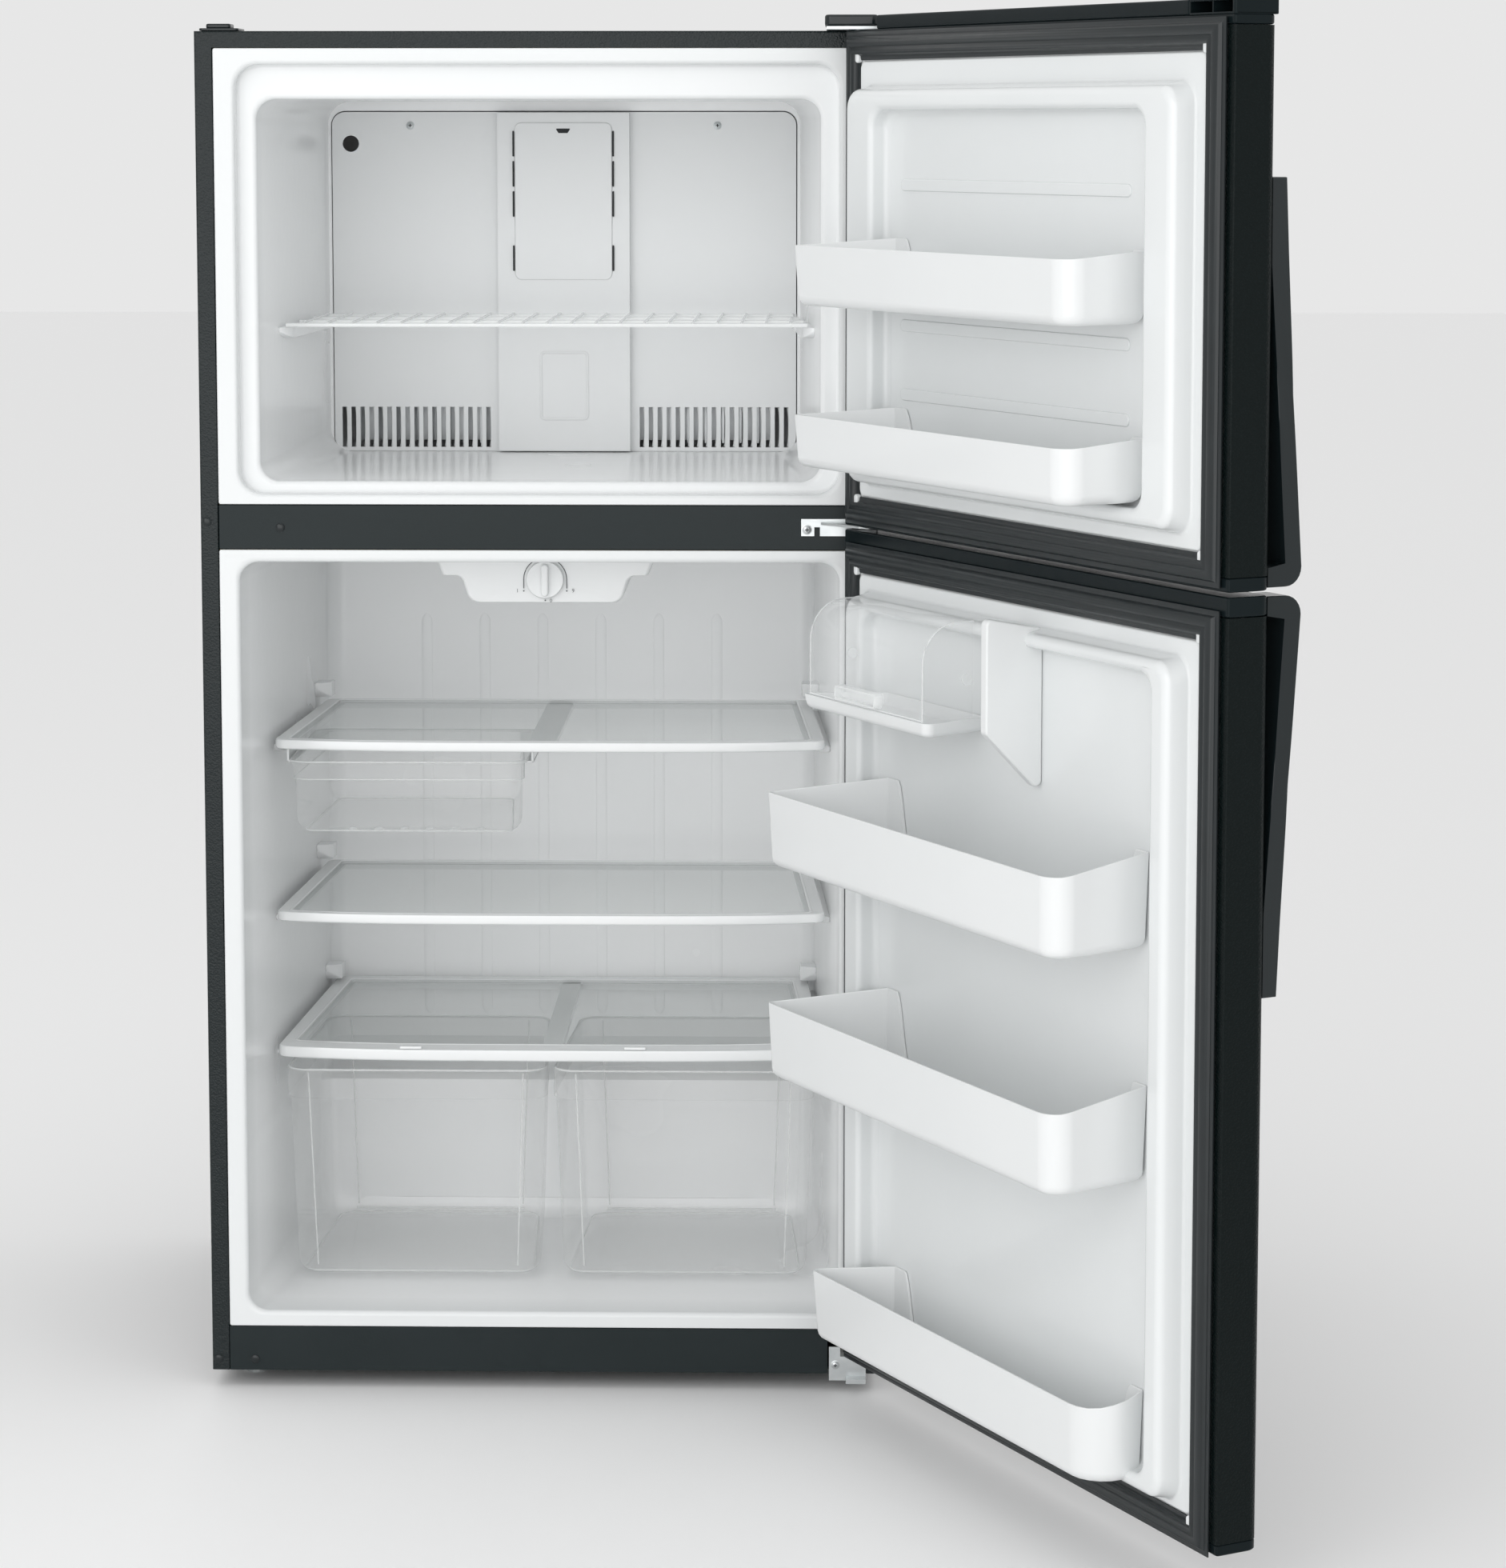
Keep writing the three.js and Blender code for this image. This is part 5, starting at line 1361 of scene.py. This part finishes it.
make("dairy_base", dairy_base(), BIN_WHITE, "fridge_door", on_door, ["dairy_tray"])
make("dairy_hood", dairy_hood(), CLEAR_LID, "dairy_lid", on_door, ["dairy_lid"],
     even=False)


def hood_edges():
    """The lid's moulded edges: a bead round each end and along its foot as painted highlights, and the grip
    at its foot and the two pivot ears, real parts in the same whiter clear."""
    line = hood_line() - [1.0, 0.6]
    ends = [tube(sided(line, x), 0.9, 6) for x in (47.0, 315.0)]
    foot = tube(np.column_stack([np.linspace(48, 314, 9), np.full(9, 89.0), np.full(9, 907.0)]), 0.9, 6)
    grip_plan = rect(138, 236, 909, 927)
    pairs = ((0, 88), (0, 98), (0.8, 99.2), (3, 99.2), (3.6, 90))
    lip = skin([faced(rounded(drawn_in(grip_plan, i), 5 - i, 5), y) for i, y in pairs], end=True)
    pivot = [(6.5, -1.2), (6.5, 1.0), (5.4, 1.8), (2.4, 1.8), (2.2, 0.4), (0.05, 0.4)]
    ears = [turned(pivot, (x, 31, 951), "x", 24) for x in (315.6, 45.4)]
    return together(*ends, foot, lip, *ears)


make("dairy_hood_edges", hood_edges(), CLEAR_EDGE_PAINTED_HIGHLIGHT, "dairy_lid", on_door, even=False)


def dairy_fin():
    """The white gusset beside the dairy box: a thin plate, deep at the top, that tapers down to the
    liner."""
    outline = np.array([[-3.5, 832], [69, 905], [69, 1034], [-3.5, 1020]], float)
    return slab(outline, -63, -49, sided, 7, 2.5)


make("dairy_fin", dairy_fin(), BIN_WHITE, "fridge_door", on_door)

# ---------------------------------------------------------------- hinges, screws and plugs

hinge_cap = slab(rect(350, 414, -56, 66), TOP + 4.4, TOP + 18, raised, 8, 3)
make("hinge_cap", hinge_cap, BLACK_GLOSS, "cabinet", replaces=["top_hinge_cover"])
barrel = [(0.05, 1087), (9, 1087), (9.5, 1088), (9.5, 1093.4), (6, 1094), (0.05, 1094)]
knuckle = turned(barrel, (404, -39, 0), "z", 32)
make("hinge_knuckle", knuckle, ZINC, "cabinet")
screws = together(dome_screw(329, -3.2, 1084, 5.0), dome_screw(366, -3.2, 34, 4.5))
make("hinge_screws", screws, ZINC, "cabinet")
slots = together(cross_slot(329, -6.4, 1084, 2.4), cross_slot(366, -6.4, 34, 2.2))
make("hinge_screw_slot_shade", slots, SHADOW_BLACK, "cabinet")


def plug(x, z):
    """A hole plug: a low button with a rounded edge."""
    return turned([(5.6, 0.3), (5.6, -0.8), (4.6, -1.8), (2.0, -2.2), (0.05, -2.2)], (x, 0, z), "y", 24)


plugs = together(plug(-408, 1092), plug(-318, 1085), plug(-408, 36), plug(-362, 36), plug(409, 1092))
make("hole_plugs", plugs, BLACK_GLOSS, "cabinet")
spare_plate = together(
    slab(rect(-410, -362, 2, 60), TOP + 0.4, TOP + 3.4, raised, 5, 0.8),
    slab(rect(-402, -372, 6, 40), TOP + 3.0, TOP + 9, raised, 4, 2),
)
make("spare_hinge_plate", spare_plate, BLACK_GLOSS, "cabinet")

# ---------------------------------------------------------------- finishes of the CAD nodes that stay

KEPT = {
    SMOOTH_BLACK: ["base_frame"],
    GALVANISED: ["back_panel"],
    FOAM: ["cabinet_foam"],
    PANEL_WHITE: ["evaporator_cover"],
    ALUMINIUM: ["evaporator_coil"],
    ZINC: ["evaporator_fan_motor", "condenser_fan_motor", "top_hinge", "centre_hinge", "bottom_hinge",
           "levelling_leg_left", "levelling_leg_right"],
    BLACK_ENAMEL: ["compressor"],
    COPPER: ["condenser_coil"],
    BLACK_GLOSS: ["drain_pan", "cord_gland", "condenser_fan", "roller_left", "roller_right"],
    HARDBOARD: ["compressor_cover"],
    BIN_WHITE: ["evaporator_fan"],
}
for material, names in KEPT.items():
    for name in names:
        frame["nodes"][name].data.materials.clear()
        frame["nodes"][name].data.materials.append(material)

# ---------------------------------------------------------------- studio

ground = bpy.data.meshes.new("studio_floor")
ground.from_pydata([(-30, -30, 0), (30, -30, 0), (30, 30, 0), (-30, 30, 0)], [], [(0, 1, 2, 3)])
floor = bpy.data.objects.new("studio_floor", ground)
bpy.context.scene.collection.objects.link(floor)
pale = Finish("pale studio floor")
ground.materials.append(pale.surface(Base_Color=rgb(0.95, 0.95, 0.95), Roughness=0.6))
floor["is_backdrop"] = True


def softbox(name, place, aim, size, power):
    """An oblong area light at a place, turned to face its aim."""
    light = bpy.data.lights.new(name, "AREA")
    light.shape = "RECTANGLE"
    light.size, light.size_y = size
    light.energy = power
    item = bpy.data.objects.new(name, light)
    bpy.context.scene.collection.objects.link(item)
    item.location = place
    direction = np.array(aim, float) - np.array(place, float)
    item.rotation_mode = "XYZ"
    flat = math.hypot(direction[0], direction[1])
    item.rotation_euler = (math.atan2(flat, -direction[2]), 0, math.atan2(-direction[0], direction[1]))


softbox("key_light", (-2.8, -4.2, 3.2), (0, 0.2, 0.9), (2.6, 2.6), 18)
softbox("fill_light", (3.4, -3.4, 2.0), (0, 0.3, 0.9), (2.4, 2.4), 5)
softbox("front_light", (-1.0, -5.7, 2.0), (-0.2, 0.4, 0.9), (6.0, 4.0), 108)
softbox("top_light", (0.2, -0.6, 4.2), (0, 0, 1.0), (2.6, 2.6), 8)

world = bpy.data.worlds.new("studio_air")
bpy.context.scene.world = world
world.use_nodes = True
world.node_tree.nodes["Background"].inputs["Color"].default_value = (1.0, 1.0, 1.0, 1.0)
world.node_tree.nodes["Background"].inputs["Strength"].default_value = 0.8
bpy.context.scene.view_settings.view_transform = "Standard"

camera_data = bpy.data.cameras.new("camera")
camera = bpy.data.objects.new("camera", camera_data)
bpy.context.scene.collection.objects.link(camera)
bpy.context.scene.camera = camera
camera_data.sensor_width = 36
camera_data.lens = 5138 * 36 / 1960
camera_data.shift_y = -0.138
camera.location = CENTRE + np.array([0.370, -5.012, 1.575])
camera.rotation_euler = (math.radians(90 - 6.128), 0, math.radians(1.224))
camera_data.clip_end = 100

low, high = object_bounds()
